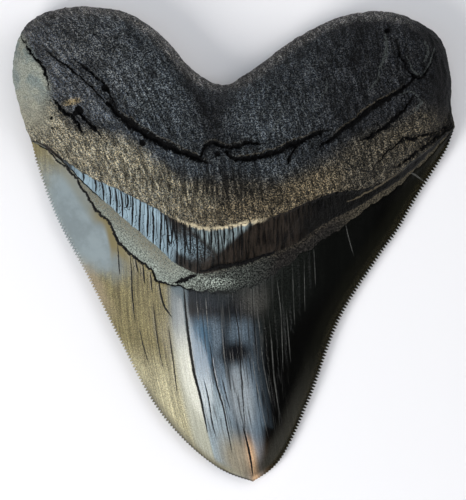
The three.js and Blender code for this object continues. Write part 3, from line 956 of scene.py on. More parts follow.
class Nodes:
    """Short ways to add and join shader nodes in one tree. A string stands for the mask of that name."""

    def __init__(self, tree, look=None, groups=None):
        self.tree, self.look, self.groups = tree, look, groups
        tree.nodes.clear()

    def add(self, kind, inputs=(), **settings):
        """A new node with its settings, fed with its inputs."""
        node = self.tree.nodes.new(kind)
        for name, value in settings.items():
            setattr(node, name, value)
        return self.feed(node, inputs)

    def feed(self, node, inputs):
        """Puts a value, a mask's name or another node's output into each of the inputs."""
        for name, value in dict(inputs).items():
            self.put(node.inputs[name], value)
        return node

    def put(self, socket, value):
        if isinstance(value, str):
            value = self.read(value, "Fac")
        if isinstance(value, bpy.types.NodeSocket):
            self.tree.links.new(value, socket)
        else:
            socket.default_value = value

    def read(self, name, output):
        return self.add("ShaderNodeAttribute", attribute_name=name).outputs[output]

    def maths(self, operation, a, b=0.0, clamp=False):
        return self.add("ShaderNodeMath", {0: a, 1: b}, operation=operation, use_clamp=clamp).outputs[0]

    def chain(self, operation, first, *others):
        """One operation carried through all the values from left to right."""
        for other in others:
            first = self.maths(operation, first, other)
        return first

    def times(self, *values):
        return self.chain("MULTIPLY", *values)

    def plus(self, *values):
        return self.chain("ADD", *values)

    def minus(self, *values):
        return self.chain("SUBTRACT", *values)

    def most(self, *values):
        return self.chain("MAXIMUM", *values)

    def flip(self, value):
        return self.minus(1.0, value)

    def step(self, value, low, high):
        """A soft step of the value, from 0 at low to 1 at high."""
        inputs = {"Value": value, "From Min": low, "From Max": high}
        return self.add("ShaderNodeMapRange", inputs, interpolation_type="SMOOTHSTEP").outputs[0]

    def scale(self, value, low, high):
        """A value from 0 to 1 spread from low to high."""
        inputs = {"Value": value, "To Min": low, "To Max": high}
        return self.add("ShaderNodeMapRange", inputs, clamp=False).outputs[0]

    def mix(self, share, a, b, blend="MIX"):
        node = self.add("ShaderNodeMix", data_type="RGBA", blend_type=blend)
        return self.feed(node, {0: share, 6: a, 7: b}).outputs[2]

    def noise(self, place, stretch, size=1.0, detail=2.0, rough=0.6):
        """Cloudy noise at a place, which is multiplied by the stretch first."""
        if stretch is not None:
            inputs = {0: place, 1: stretch}
            place = self.add("ShaderNodeVectorMath", inputs, operation="MULTIPLY").outputs[0]
        inputs = {"Vector": place, "Scale": size, "Detail": detail, "Roughness": rough}
        return self.add("ShaderNodeTexNoise", inputs).outputs["Fac"]

    def bump(self, height, strength, distance):
        inputs = {"Strength": strength, "Distance": distance, "Height": height}
        return self.add("ShaderNodeBump", inputs).outputs["Normal"]

    def group(self, tree, **inputs):
        node = self.feed(self.add("ShaderNodeGroup", node_tree=tree), inputs)
        return SimpleNamespace(**{socket.name.lower(): socket for socket in node.outputs})

    def grain(self, place, size, length):
        return self.group(self.groups.grain, Place=place, Size=size, Length=length)

    def crack_line(self, name, place, rag):
        """The crisp line of a named crack field, and the shade round it."""
        return self.group(
            self.groups.crack, Signed=name, Near=name + "_near", Half=name + "_half", Place=place, Rag=rag)

    def stain(self, under, mask, breakup, ragged=0.7, colour=None):
        """A mark over a colour, stains and painted light alike. Its own colour is the one named as its
        mask, unless it is given.
        """
        colour = colour or getattr(self.look, mask)
        group = self.groups.stain
        laid = self.group(group, Under=under, Stain=colour, Mask=mask, Breakup=breakup, Raggedness=ragged)
        return laid.colour

    def contrast(self, colour, value, low, high, spread=0.14):
        """The colour times low to high as the value goes through a half, over the given spread each way."""
        gain = self.scale(self.step(value, 0.5 - spread, 0.5 + spread), low, high)
        grey = self.add("ShaderNodeCombineXYZ", {0: gain, 1: gain, 2: gain}).outputs[0]
        return self.mix(1.0, colour, grey, "MULTIPLY")

    def tinted(self, share, colour, value):
        """The colour with cool and warm grains, which a value tells apart."""
        grains = self.mix(self.step(value, 0.4, 0.6), self.look.cool, self.look.warm)
        return self.mix(share, colour, grains, "MULTIPLY")


def new_group(name, inputs, outputs):
    """An empty shader group, with its helper, inputs and output node. Defaults give the inputs' kinds."""
    tree = bpy.data.node_groups.new(name, "ShaderNodeTree")
    nodes = Nodes(tree)
    for label, default in inputs.items():
        kind = {1: "Float", 3: "Vector", 4: "Color"}[np.size(default)]
        socket = tree.interface.new_socket(label, in_out="INPUT", socket_type="NodeSocket" + kind)
        socket.default_value = default
    for label in outputs:
        kind = "Color" if label == "Colour" else "Float"
        tree.interface.new_socket(label, in_out="OUTPUT", socket_type="NodeSocket" + kind)
    given = nodes.add("NodeGroupInput").outputs
    return tree, nodes, given, nodes.add("NodeGroupOutput")


def crack_group():
    """Turns a crack field into a crisp ragged line, 1 in the crack and 0 outside, with a shade round it."""
    inputs = {"Signed": 3.0, "Near": 3.0, "Half": 0.0, "Place": (0, 0, 0), "Rag": 0.5}
    tree, n, given, out = new_group("Crack line", inputs, ("Line", "Shade"))
    half = given["Half"]
    rag = n.minus(n.noise(given["Place"], None, 1.5, 3.0, 0.7), 0.5)
    much = n.times(n.plus(n.times(half, 1.6), 0.2), given["Rag"])
    reach = n.plus(n.maths("ABSOLUTE", given["Signed"]), n.times(rag, much))
    wide = n.times(half, 1.1)
    inside = n.flip(n.step(reach, n.minus(wide, 0.05), n.plus(wide, 0.06)))
    whole = n.times(n.step(half, 0.02, 0.09), n.maths("LESS_THAN", given["Near"], 1.7))
    n.feed(out, {
        "Line": n.times(inside, whole),
        "Shade": n.times(n.flip(n.step(reach, half, n.plus(half, 1.0))), whole),
    })
    return tree


def grain_group():
    """Speckle and fibres of mineralised tissue, each as a value from 0 to 1 about a half."""
    inputs = {"Place": (0, 0, 0), "Size": 0.5, "Length": 3.0}
    tree, n, given, out = new_group("Mineral grain", inputs, ("Speckle", "Fibres", "Cloud"))
    pitch = n.maths("DIVIDE", 1.0, given["Size"])
    long = n.maths("DIVIDE", pitch, given["Length"])
    drawn_out = n.add("ShaderNodeCombineXYZ", {0: pitch, 1: long, 2: long}).outputs[0]
    n.feed(out, {
        "Speckle": n.noise(given["Place"], None, pitch, 2.0, 0.7),
        "Fibres": n.noise(given["Place"], drawn_out, 0.5, 3.0, 0.65),
        "Cloud": n.noise(given["Place"], None, 0.14, 4.0, 0.65),
    })
    return tree


def lines_group():
    """Hair-fine growth lines: dark ones and lit ones, each as a mask from 0 to 1."""
    tree, n, given, out = new_group("Growth lines", {"Place": (0, 0, 0)}, ("Dark", "Lit"))
    n.feed(out, {
        "Dark": n.flip(n.step(n.noise(given["Place"], (1.5, 0.035, 0.2), rough=0.7), 0.36, 0.44)),
        "Lit": n.step(n.noise(given["Place"], (2.6, 0.045, 0.2)), 0.62, 0.68),
    })
    return tree


def overlay_group():
    """Lays a mark over a colour, stains and painted light alike, its edge broken up by a noise value.

    The break-up fades where the mask is 0 or 1, so a mark never reaches far outside its own place.
    """
    inputs = {"Under": (0, 0, 0, 1), "Stain": (1, 1, 1, 1), "Mask": 0.0, "Breakup": 0.5, "Raggedness": 0.6}
    tree, n, given, out = new_group("Stain", inputs, ("Colour",))
    mask = given["Mask"]
    shift = n.times(n.minus(given["Breakup"], 0.5), given["Raggedness"])
    share = n.maths("ADD", mask, n.times(shift, mask, n.flip(mask), 4.0), clamp=True)
    n.feed(out, {"Colour": n.mix(share, given["Under"], given["Stain"])})
    return tree


def finished(name, look=None, groups=None):
    """A new material with a node helper and its Principled shader joined to the output."""
    material = bpy.data.materials.new(name)
    material.use_nodes = True
    n = Nodes(material.node_tree, look, groups)
    shader = n.add("ShaderNodeBsdfPrincipled")
    n.add("ShaderNodeOutputMaterial", {"Surface": shader.outputs[0]})
    return material, n, shader


def bone_colour(n, look, bone, fine, striae, drip, vein):
    """Charcoal over brown bone, with its stains, fibres, drips and veins, painted shade in the fold, in the
    cleft between the lobes and on the right flank, a painted sheen on the rim, and the pale left flank,
    partly painted light.
    """
    brown = n.mix("dusk", look.brown, look.umber)
    brown = n.stain(brown, "sand", bone.cloud, 1.0)
    brown = n.stain(brown, "tan", bone.speckle, 1.0)
    coal = n.mix("ash", n.mix("night", look.charcoal, look.night), look.ash)
    coal = n.contrast(coal, bone.cloud, 0.75, 1.25)
    root = n.stain(brown, "charcoal", bone.cloud, 1.2, coal)
    # Painted shadow along the fold, in the crack colour.
    root = n.stain(root, "seam", bone.fibres, 1.6, look.crack)
    # Painted shade in the cleft between the lobes, in the night colour.
    root = n.stain(root, "notch_shade", bone.fibres, 1.0, look.night)
    # Rubbed rim with a painted sheen.
    root = n.stain(root, "rim_polish_and_sheen", bone.speckle, 0.8)
    # Painted shade on the right flank, in the crack colour.
    root = n.mix(n.times("flank_shade", 0.78), root, look.crack)
    root = n.stain(root, "rust", bone.speckle, 1.6)
    for grain, low, high, spread in (
        (bone.speckle, 0.16, 2.55, 0.12), (bone.fibres, 0.5, 1.5, 0.12), (striae, 0.66, 1.42, 0.14),
    ):
        root = n.contrast(root, grain, low, high, spread)
    root = n.mix(n.scale("dusk", 0.35, 0.95), root, n.contrast(root, fine.speckle, 0.14, 2.3, 0.1))
    root = n.tinted(1.0, root, fine.speckle)
    root = n.mix(n.times("drips", n.flip(n.step(drip, 0.44, 0.54)), 0.75), root, look.crack)
    root = n.mix(n.times(vein, n.scale(n.step(bone.speckle, 0.4, 0.6), 0.15, 0.9)), root, look.vein)
    # The pale left flank: partly its own polished colour, partly painted light on the side facing the key
    # light.
    flank = n.mix("flank_tan", look.lit_pale_flank, look.flank_tan)
    flank = n.mix(n.scale(n.step(bone.cloud, 0.45, 0.6), 0.0, 0.6), flank, look.flank_tan)
    flank = n.contrast(flank, bone.speckle, 0.62, 1.3)
    flank = n.contrast(flank, bone.cloud, 0.7, 1.2)
    return n.stain(root, "lit_pale_flank", bone.speckle, 1.2, flank)


def neck_colour(n, look, bone, fine, in_band, vein):
    """The dark band with its pale left arm and wedge, over the dull strip beside the enamel."""
    band = n.mix(n.step("night", 0.2, 0.8), look.band_brown, look.enamel_black)
    band = n.contrast(band, fine.fibres, 0.0, 3.4, 0.16)
    for name, colour, grain, low, high in (
        ("mottle", look.band_blue, fine.speckle, 0.05, 1.0), ("arm", look.band_blue, fine.fibres, 0.7, 1.3),
        ("keystone", look.keystone, fine.fibres, 0.3, 1.8),
    ):
        band = n.stain(band, name, grain, 1.2, n.contrast(colour, grain, low, high))
    dull = n.mix("grey_neck", look.neck_dark, look.neck_grey)
    dull = n.mix("matte_neck", dull, look.neck_matte)
    dull = n.stain(dull, "pale_dull", bone.speckle, 1.6, look.neck_matte)
    dull = n.contrast(dull, fine.speckle, 0.5, 1.5, 0.12)
    dull = n.contrast(dull, bone.speckle, 0.6, 1.45, 0.12)
    dull = n.mix("matte_neck", n.contrast(dull, bone.speckle, 0.05, 2.2, 0.12), dull)
    dull = n.mix(n.times("crumbs", n.step(fine.speckle, 0.45, 0.6)), dull, look.crumb)
    dull = n.mix(n.times("band_edge", n.step(bone.speckle, 0.5, 0.58), 0.35), dull, look.tan_fleck)
    dull = n.mix(n.times("dust", n.step(fine.speckle, 0.46, 0.56)), dull, look.shade)
    return n.mix(n.times(vein, bone.speckle, 1.2), n.mix(in_band, dull, band), look.tan_fleck)


def root_material(look, groups):
    """Root and neck band: charcoal and brown bone with dark grain, and the glazed, cleated band."""
    material, n, shader = finished("root_and_neck", look, groups)
    fibre, flow = n.read("fibre", "Vector"), n.read("flow", "Vector")
    bone, fine = n.grain(fibre, 0.37, 3.4), n.grain(flow, 0.36, 9.0)
    striae = n.noise(fibre, (0.85, 0.13, 0.13), detail=3.0, rough=0.65)
    drip = n.noise(flow, (0.8, 0.08, 0.08))
    rags = {"root_crack": 2.0, "neck_crack": 1.6, "hem_crack": 1.7, "cleat": 0.9, "vein": 2.0}
    line = {name: n.crack_line(name, flow, rag) for name, rag in rags.items()}
    in_band, in_root = n.step("over_band_hem", -0.12, 0.12), n.step("over_root_hem", -0.12, 0.14)
    root = bone_colour(n, look, bone, fine, striae, drip, line["vein"].line)
    neck = neck_colour(n, look, bone, fine, in_band, line["vein"].line)
    colour = n.mix(in_root, neck, root)
    # Painted highlight along the root's hem.
    colour = n.mix(n.times("hem_glint", n.step(fine.fibres, 0.38, 0.46)), colour, look.hem_glint)

    on_band = n.times(n.flip(in_root), in_band)
    dark = n.most(
        n.times(line["root_crack"].line, in_root), n.times(line["cleat"].line, on_band),
        line["neck_crack"].line, line["hem_crack"].line, n.step("pit", 0.2, 0.45))
    colour = n.mix(n.times(line["root_crack"].shade, 0.2), colour, look.crack)
    # Tan flecks along the root crack's upper lip: a painted highlight where the raised lip would catch the
    # key light.
    away = n.minus("root_crack", "root_crack_half")
    lip = n.minus(n.step(away, 0.0, 0.2), n.step(away, 0.3, 0.75))
    lip = n.times(lip, n.step("root_crack_half", 0.35, 0.6), n.step(bone.speckle, 0.42, 0.58))
    colour = n.mix(n.times(lip, 0.55), colour, look.tan_fleck)

    glaze = n.times(on_band, n.flip(dark))
    height = n.times(n.plus(bone.speckle, bone.fibres, striae), 0.5)
    height = n.minus(n.times(height, n.scale(in_root, 0.25, 1.0)), n.times(dark, 1.2))
    n.feed(shader, {
        "Base Color": n.mix(dark, colour, look.crack),
        "Roughness": n.scale(glaze, n.scale(bone.speckle, 0.5, 0.8), 0.33),
        "Specular IOR Level": 0.16,
        "Normal": n.bump(height, 1.0, ROOT_BUMP),
    })
    return material


def khaki_colour(n, look, flow, wide, fine, grit):
    """The khaki left side of the crown, paler lower down, partly from a pale stain and partly from a
    painted highlight, with its rusty lines and warm edge.
    """
    khaki = n.mix("pallor_and_highlight", look.khaki, look.cream_and_highlight)
    khaki = n.contrast(khaki, wide.fibres, 0.94, 1.06)
    khaki = n.contrast(khaki, fine.fibres, 0.86, 1.14)
    khaki = n.contrast(khaki, grit.speckle, 0.72, 1.28)
    khaki = n.tinted(0.5, khaki, fine.speckle)
    rusty = n.flip(n.step(n.noise(flow, (3.4, 0.06, 0.2)), 0.36, 0.45))
    khaki = n.mix(n.times(rusty, n.scale("pallor_and_highlight", 0.4, 0.1)), khaki, look.rusty)
    return n.stain(khaki, "edge_tan", wide.cloud, 0.8)


def middle_colour(n, look, wide, fine):
    """The slate middle with painted shade under the neck band and a painted highlight low down, the painted
    blue sky reflection, the black right side of the crown, and the stains of its tip.
    """
    # Painted shade darkens the slate under the neck band.
    slate = n.contrast(n.mix("shade", look.slate, look.shade), wide.fibres, 0.45, 1.6)
    slate = n.mix("shade", slate, n.contrast(slate, fine.speckle, 0.3, 2.2, 0.1))
    # Painted highlight patch low in the middle.
    slate = n.stain(slate, "patch", wide.fibres, 1.0)
    slate = n.stain(slate, "gap", fine.fibres, 1.0, look.shade)
    night = n.contrast(n.mix("upper", look.enamel_black, look.enamel_upper), fine.speckle, 0.4, 1.8)
    colour = n.mix("dark_side", slate, night)
    # Painted sky reflection right of the long crack, whiter towards the tip.
    colour = n.stain(colour, "sky", wide.fibres, 0.9, n.mix("milky_reflection", look.sky, look.milky_reflection))
    colour = n.stain(colour, "scuff", fine.speckle, 1.4, n.contrast(look.scuff, fine.speckle, 0.2, 1.8))
    colour = n.mix(n.times("dust", n.step(fine.speckle, 0.46, 0.56)), colour, look.neck_grey)
    colour = n.stain(colour, "tip_grey", wide.fibres, 0.9)
    return n.stain(colour, "ember", wide.fibres, 0.9)


def enamel_material(look, groups, enamel_roughness, coat):
    """Crown: black enamel with khaki stains, painted pale highlights, painted blue reflections and painted
    shade, drawn out along its growth lines.
    """
    material, n, shader = finished("crown_enamel", look, groups)
    flow = n.read("flow", "Vector")
    wide, fine, grit = n.grain(flow, 1.3, 18.0), n.grain(flow, 0.2, 36.0), n.grain(flow, 0.3, 2.6)
    hairs = n.group(groups.lines, Place=flow)
    colour = middle_colour(n, look, wide, fine)
    colour = n.stain(colour, "khaki", wide.fibres, 0.3, khaki_colour(n, look, flow, wide, fine, grit))
    # Painted highlight stripe left of the long crack, dim under the neck band and bright lower down.
    colour = n.stain(colour, "highlight_stripe", wide.fibres, 0.7, n.mix("lit", look.dim_highlight_top, look.highlight_stripe))
    # Painted reflection along the lower left rim of the crown.
    colour = n.stain(colour, "olive_rim_reflection", wide.cloud, 0.6)
    colour = n.stain(colour, "bevel", wide.cloud, 0.5, n.mix("tipward", look.bevel, look.bevel_tip))
    colour = n.mix("edge_line", colour, look.bevel)
    colour = n.mix(n.times(hairs.dark, n.scale("lined", 0.0, 0.7)), colour, look.crack)
    colour = n.mix(n.times(hairs.lit, n.scale("lined", 0.0, 0.22)), colour, look.split_edge)
    colour = n.contrast(colour, fine.fibres, 0.86, 1.14)
    colour = n.contrast(colour, grit.speckle, 0.8, 1.2)
    # Painted sky reflection on the smooth upper left of the crown.
    colour = n.stain(colour, "reflecting_cheek", wide.cloud, 0.9, n.contrast(look.reflecting_cheek, wide.cloud, 0.86, 1.12))
    colour = n.stain(colour, "hem_tan", wide.cloud, 0.9, look.khaki)
    colour = n.mix(n.times("worn_edge", n.step(fine.speckle, 0.5, 0.62), 0.25), colour, look.khaki)

    split = n.crack_line("bright_split", flow, 0.6).line
    beads = n.times(n.step(fine.speckle, 0.42, 0.56), n.step(fine.cloud, 0.38, 0.55))
    bright = n.times(split, n.scale(beads, 0.2, 1.0), n.scale("dark_side", 0.9, 0.5))
    colour = n.mix(bright, colour, look.split_edge)
    dark = n.most(n.crack_line("enamel_crack", flow, 0.8).line, n.crack_line("hem_crack", flow, 1.7).line)

    matte = n.most("scuff", dark, n.times("dull_enamel", 0.62))
    rough = n.scale(wide.fibres, enamel_roughness * 0.92, enamel_roughness * 1.1)
    height = n.plus(n.times(fine.fibres, 0.22), n.times(wide.fibres, 0.12))
    height = n.times(height, n.scale("reflecting_cheek", 1.0, 0.2))
    hair = n.times(hairs.dark, n.scale("lined", 0.1, 0.8))
    height = n.minus(height, n.times(dark, 1.6), n.times(split, 0.6), hair)
    n.feed(shader, {
        "Base Color": n.mix(dark, colour, look.crack),
        "Roughness": n.scale(matte, rough, 0.62),
        "Coat Weight": n.scale(n.most(matte, "dark_side"), coat, 0.0),
        "Coat Roughness": 0.12,
        "Specular IOR Level": 0.22,
        "Normal": n.bump(height, 0.5, ENAMEL_BUMP),
    })
    return material


# ---------------------------------------------------------------------------
# Settings
# ---------------------------------------------------------------------------

def measure(name, description, millimetres):
    return bpy.props.FloatProperty(
        name=name, description=description, default=millimetres * MM, unit="LENGTH", precision=5)


def paint(name, description, red, green, blue):
    return bpy.props.FloatVectorProperty(
        name=name, description=description, default=(red, green, blue), subtype="COLOR", min=0.0, max=1.0)


def factor(name, description, share):
    return bpy.props.FloatProperty(
        name=name, description=description, default=share, min=0.0, max=1.0, subtype="FACTOR")


def amount(name, description, value, unit="NONE"):
    return bpy.props.FloatProperty(name=name, description=description, default=value, min=0.0, unit=unit)


class ToothForm(bpy.types.PropertyGroup):
    """Heights and depths of the tooth."""

    tip_rim: measure("Tip rim", "Height of the cutting edge over the table at the tip", 3.2)
    cutting_rim: measure("Cutting rim", "Height of the cutting edges over the table", 3.8)
    root_rim: measure("Root rim", "Height of the middle of the root's rim over the table", 8.8)
    crown_rise: measure("Crown rise", "Swelling of the crown over its edges", 15.2)
    lobe_rise: measure("Lobe rise", "Swelling of the root's lobes over the rim", 10.0)
    centre_rise: measure("Centre rise", "Further swelling of the middle of the root", 12.4)
    front_round: measure("Front rounding", "Rounding of the root's rim on the inner face", 9.5)
    back_round: measure("Back rounding", "Rounding of the root's rim on the outer face", 7.0)
    neck_dip: measure("Neck dip", "Hollow of the neck band", 0.7)
    serration_depth: measure("Serration depth", "Depth of the saw teeth on the cutting edges", 1.1)
    crack_depth: measure("Crack depth", "Depth of the widest cracks", 1.0)
    grain_height: measure("Grain height", "Height of the root's grain", 0.24)


class ToothLook(bpy.types.PropertyGroup):
    """Colours and gloss of the fossil, among them painted highlights, reflections and shade."""

    charcoal: paint("Charcoal", "Upper root on the left", 0.036, 0.042, 0.052)
    night: paint("Night", "Upper root on the right", 0.011, 0.012, 0.015)
    brown: paint("Brown", "Lower root on the left", 0.172, 0.154, 0.121)
    umber: paint("Umber", "Lower root on the right", 0.038, 0.034, 0.029)
    tan: paint("Tan", "Warm stain along the root's hem", 0.084, 0.068, 0.048)
    tan_fleck: paint("Tan fleck", "Flecks along the neck band", 0.14, 0.115, 0.075)
    # Partly the flank's own polished colour, partly painted light on the side that faces the key light.
    lit_pale_flank: paint("Pale flank", "Polished left side of the root", 0.29, 0.345, 0.33)
    flank_tan: paint("Flank tan", "The same side near the crown", 0.315, 0.306, 0.24)
    ash: paint("Ash", "Upper root at the far left", 0.055, 0.058, 0.067)
    # Partly rubbed polish, partly a painted sheen where the rim would reflect the sky light.
    rim_polish_and_sheen: paint("Rim polish", "Rubbed rim of the root", 0.066, 0.065, 0.07)
    rust: paint("Rust", "Small ochre stains", 0.13, 0.1, 0.06)
    # Painted highlight along the root's hem.
    hem_glint: paint("Gilt", "Lit hem of the root over the neck band", 0.88, 0.76, 0.52)
    band_blue: paint("Band blue", "Pale left arm of the neck band", 0.24, 0.335, 0.395)
    band_brown: paint("Band brown", "Dark middle of the neck band", 0.008, 0.006, 0.0045)
    keystone: paint("Keystone", "Small pale wedge under the middle of the root", 0.13, 0.165, 0.175)
    neck_matte: paint("Neck matte", "Dull grey-green strip over the enamel", 0.222, 0.25, 0.222)
    neck_grey: paint("Neck grey", "The same strip in the middle", 0.026, 0.029, 0.026)
    neck_dark: paint("Neck dark", "The same strip on the right", 0.01, 0.009, 0.008)
    enamel_black: paint("Enamel black", "Enamel on the right", 0.0012, 0.0012, 0.001)
    slate: paint("Slate", "Enamel in the middle", 0.105, 0.142, 0.178)
    # Painted shade under the neck band; the dark gap patch and the dust specks borrow its colour.
    shade: paint("Shade", "Navy enamel under the neck", 0.005, 0.0056, 0.0072)
    khaki: paint("Khaki", "Enamel on the left", 0.195, 0.164, 0.08)
    # Partly a pale stain, partly the painted highlight low on the left of the crown.
    cream_and_highlight: paint("Cream", "Pale stain low on the left", 0.45, 0.405, 0.262)
    # Painted highlight stripe left of the long crack: bright lower down, dim under the neck band.
    highlight_stripe: paint("Stripe", "Pale stripe left of the long crack", 0.41, 0.412, 0.335)
    dim_highlight_top: paint("Stripe top", "The same stripe under the neck", 0.1, 0.125, 0.135)
    # Painted reflection of the bluish sky light right of the long crack; the next colour is its whiter end
    # towards the tip.
    sky: paint("Sky", "Blue stripe right of the long crack", 0.034, 0.098, 0.165)
    milky_reflection: paint("Milk", "The same stripe towards the tip", 0.275, 0.335, 0.37)
    # Painted highlight: a pale patch low in the middle of the crown.
    patch: paint("Patch", "Pale patch low in the middle", 0.275, 0.31, 0.335)
    # Painted sky reflection on the smooth enamel at the upper left of the crown.
    reflecting_cheek: paint("Cheek", "Smooth blue-grey enamel at the upper left", 0.215, 0.262, 0.28)
    scuff: paint("Scuff", "Worn brown-grey patch under the neck band", 0.058, 0.056, 0.05)
    tip_grey: paint("Tip grey", "Grey enamel beside the tip", 0.25, 0.228, 0.175)
    ember: paint("Ember", "Copper stain at the tip", 0.74, 0.47, 0.27)
    sand: paint("Sand", "Pale strip of the root above its hem", 0.195, 0.177, 0.142)
    enamel_upper: paint("Enamel upper", "Black enamel near its hem", 0.006, 0.007, 0.006)
    rusty: paint("Rusty", "Fine lines in the khaki enamel", 0.055, 0.036, 0.02)
    edge_tan: paint("Edge tan", "Warm pale stain along the upper left edge of the crown", 0.27, 0.22, 0.14)
    # Painted reflection along the lower left rim of the crown.
    olive_rim_reflection: paint("Olive rim", "Rim of the crown low on the left", 0.23, 0.215, 0.15)
    bevel: paint("Bevel", "Greenish bevel inside the right edge", 0.005, 0.005, 0.0032)
    bevel_tip: paint("Bevel tip", "The same bevel beside the tip", 0.03, 0.029, 0.024)
    split_edge: paint("Split edge", "Lit edges of the fine splits", 0.18, 0.182, 0.172)
    vein: paint("Vein", "Pale raised veins of the root", 0.08, 0.09, 0.088)
    crumb: paint("Crumb", "Tan crumbs on the dull strip", 0.19, 0.165, 0.11)
    cool: paint("Cool", "Cool half of the grain", 0.76, 0.88, 1)
    warm: paint("Warm", "Warm half of the grain", 0.93, 0.88, 0.72)
    crack: paint("Crack", "Inside of the cracks", 0.002, 0.002, 0.0024)
    enamel_roughness: factor("Enamel roughness", "Roughness of the enamel", 0.24)
    coat: factor("Enamel coat", "Weight of the clear gloss on the enamel", 0.45)


LOOK_COLOURS = [name for name in ToothLook.__annotations__ if name not in ("enamel_roughness", "coat")]


class Studio(bpy.types.PropertyGroup):
    """Table, lights and camera."""

    floor: paint("Table", "Colour of the table", 0.87, 0.865, 0.89)
    camera_height: measure("Camera height", "Height of the camera over the table", 900)
    framed_height: measure("Framed height", "Height of the view at the level of the rim", 137.5)
    key_power: amount("Key", "Power of the large light at the left", 6.2, "POWER")
    sky_power: amount("Sky", "Power of the bluish light nearer overhead", 0.75, "POWER")
    fill_strength: amount("Fill", "Strength of the even light from above, which shines in no gloss", 1.25)
    side_strength: amount("Side", "Strength of the low light at the right, which opens the shadow", 1.1)
    world_strength: amount("Surroundings", "Strength of the surrounding light on the object", 0.045)


def in_millimetres(group):
    """All lengths of a settings group as plain numbers in millimetres."""
    return SimpleNamespace(**{name: getattr(group, name) / MM for name in group.__annotations__})


def opaque(group):
    """All colours of the look with an alpha of 1."""
    return SimpleNamespace(**{name: (*getattr(group, name), 1.0) for name in LOOK_COLOURS})


# ---------------------------------------------------------------------------
# Operators
# ---------------------------------------------------------------------------

def placed(name, data):
    """A new object of the scene, unturned at the origin."""
    made = bpy.data.objects.new(name, data)
    bpy.context.scene.collection.objects.link(made)
    return made


class FOSSIL_OT_tooth(bpy.types.Operator):
    """Build the tooth with its cracks, serrations and stains, in place of the plain solid"""

    bl_idname = "fossil.tooth"
    bl_label = "Tooth"

    def execute(self, context):
        size = in_millimetres(context.scene.tooth_form)
        look = context.scene.tooth_look
        tooth = placed("fossil_tooth", build_tooth_mesh(size))
        groups = SimpleNamespace(
            crack=crack_group(), grain=grain_group(), lines=lines_group(), stain=overlay_group())
        tooth.data.materials.append(root_material(opaque(look), groups))
        tooth.data.materials.append(enamel_material(opaque(look), groups, look.enamel_roughness, look.coat))
        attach(tooth, "root")
        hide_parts(TOOTH_NODE)
        return {"FINISHED"}


def area_light(name, power, tint, width, height, direction, aim):
    """A rectangular light that faces the aimed point from a direction, unseen by the camera."""
    lamp = bpy.data.lights.new(name, "AREA")
    lamp.shape, lamp.size, lamp.size_y = "RECTANGLE", width, height
    lamp.energy, lamp.color = power, tint
    light = placed(name, lamp)
    way = np.asarray(direction, float) / np.linalg.norm(direction)
    light.location = np.asarray(aim) + way * LIGHT_DISTANCE
    light.rotation_euler = Vector(way).to_track_quat("Z", "Y").to_euler()
    light.visible_camera = False


def even_light(name, strength, direction, spread):
    """A very soft light from a direction, even over the whole table, that shines in no gloss."""
    lamp = bpy.data.lights.new(name, "SUN")
    lamp.energy, lamp.angle = strength, math.radians(spread)
    light = placed(name, lamp)
    light.rotation_euler = Vector(direction).to_track_quat("Z", "Y").to_euler()
    light.visible_glossy = False


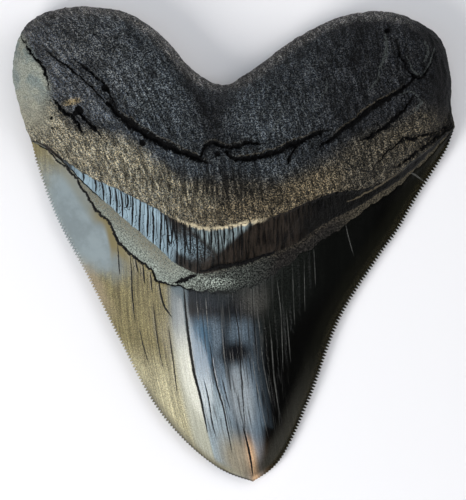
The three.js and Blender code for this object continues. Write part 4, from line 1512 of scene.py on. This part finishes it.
class FOSSIL_OT_studio(bpy.types.Operator):
    """Build the pale table, the soft lights, the surroundings and the camera overhead"""

    bl_idname = "fossil.studio"
    bl_label = "Studio"

    def execute(self, context):
        studio = context.scene.fossil_studio
        self.table(studio)
        self.lights(studio)
        self.surroundings(context, studio)
        self.camera(context, studio)
        context.scene.view_settings.view_transform = "Standard"
        return {"FINISHED"}

    def table(self, studio):
        corners = [(TABLE_REACH * x, TABLE_REACH * y, 0.0) for x, y in ((-1, -1), (1, -1), (1, 1), (-1, 1))]
        mesh = bpy.data.meshes.new("table")
        mesh.from_pydata(corners, [], [(0, 1, 2, 3)])
        table = placed("table", mesh)
        material, n, shader = finished("table")
        n.feed(shader, {"Base Color": (*studio.floor, 1.0), "Roughness": 0.9})
        mesh.materials.append(material)

    def lights(self, studio):
        low, high = (np.array(corner) for corner in TOOTH_BOX)
        aim = (low + high) / 2
        for name, power, tint, width, height, direction in (
            ("key", studio.key_power, (1.0, 0.98, 0.95), 0.38, 0.48, (-0.57, -0.48, 0.67)),
            ("sky", studio.sky_power, (0.62, 0.80, 1.0), 0.22, 0.60, (-0.30, -0.05, 0.95)),
        ):
            area_light(name, power, tint, width, height, direction, aim)
        even_light("fill", studio.fill_strength, (0.25, 0.3, 0.9), 68)
        even_light("side", studio.side_strength, (0.85, 0.12, 0.50), 56)

    def surroundings(self, context, studio):
        """Pale to the camera, dimmer to the object."""
        world = bpy.data.worlds.new("surroundings")
        context.scene.world = world
        world.use_nodes = True
        n = Nodes(world.node_tree)
        seen = n.add("ShaderNodeBackground", {"Color": (0.96, 0.96, 1.0, 1.0), "Strength": 1.0})
        felt = n.add(
            "ShaderNodeBackground", {"Color": (0.9, 0.95, 1.0, 1.0), "Strength": studio.world_strength})
        is_camera = n.add("ShaderNodeLightPath").outputs["Is Camera Ray"]
        mixed = n.add("ShaderNodeMixShader", {0: is_camera, 1: felt.outputs[0], 2: seen.outputs[0]})
        n.add("ShaderNodeOutputWorld", {"Surface": mixed.outputs[0]})

    def camera(self, context, studio):
        """Straight overhead, the tooth's tip down the view, framing a height at the rim's level."""
        lens = bpy.data.cameras.new("overhead")
        lens.sensor_width = 36.0
        rim_level = context.scene.tooth_form.root_rim
        lens.lens = lens.sensor_width * (studio.camera_height - rim_level) / studio.framed_height
        camera = placed("overhead", lens)
        camera.location = (*VIEW_CENTRE, studio.camera_height)
        context.scene.camera = camera


class FOSSIL_PT_panel(bpy.types.Panel):
    """Lists the builders of the fossil tooth"""

    bl_label = "Fossil Tooth"
    bl_idname = "FOSSIL_PT_panel"
    bl_space_type = "VIEW_3D"
    bl_region_type = "UI"
    bl_category = "Fossil Tooth"

    def draw(self, context):
        for operator in OPERATORS:
            self.layout.operator(operator.bl_idname)
        for name, group in SETTINGS.items():
            column = self.layout.column()
            for field in group.__annotations__:
                column.prop(getattr(context.scene, name), field)


OPERATORS = (FOSSIL_OT_tooth, FOSSIL_OT_studio)
SETTINGS = {"tooth_form": ToothForm, "tooth_look": ToothLook, "fossil_studio": Studio}
CLASSES = (*SETTINGS.values(), *OPERATORS, FOSSIL_PT_panel)


def register():
    for cls in CLASSES:
        bpy.utils.register_class(cls)
    for name, group in SETTINGS.items():
        setattr(bpy.types.Scene, name, bpy.props.PointerProperty(type=group))


def unregister():
    for name in SETTINGS:
        delattr(bpy.types.Scene, name)
    for cls in reversed(CLASSES):
        bpy.utils.unregister_class(cls)


def main():
    register()
    bpy.ops.fossil.tooth()
    bpy.ops.fossil.studio()


if __name__ == "__main__":
    main()
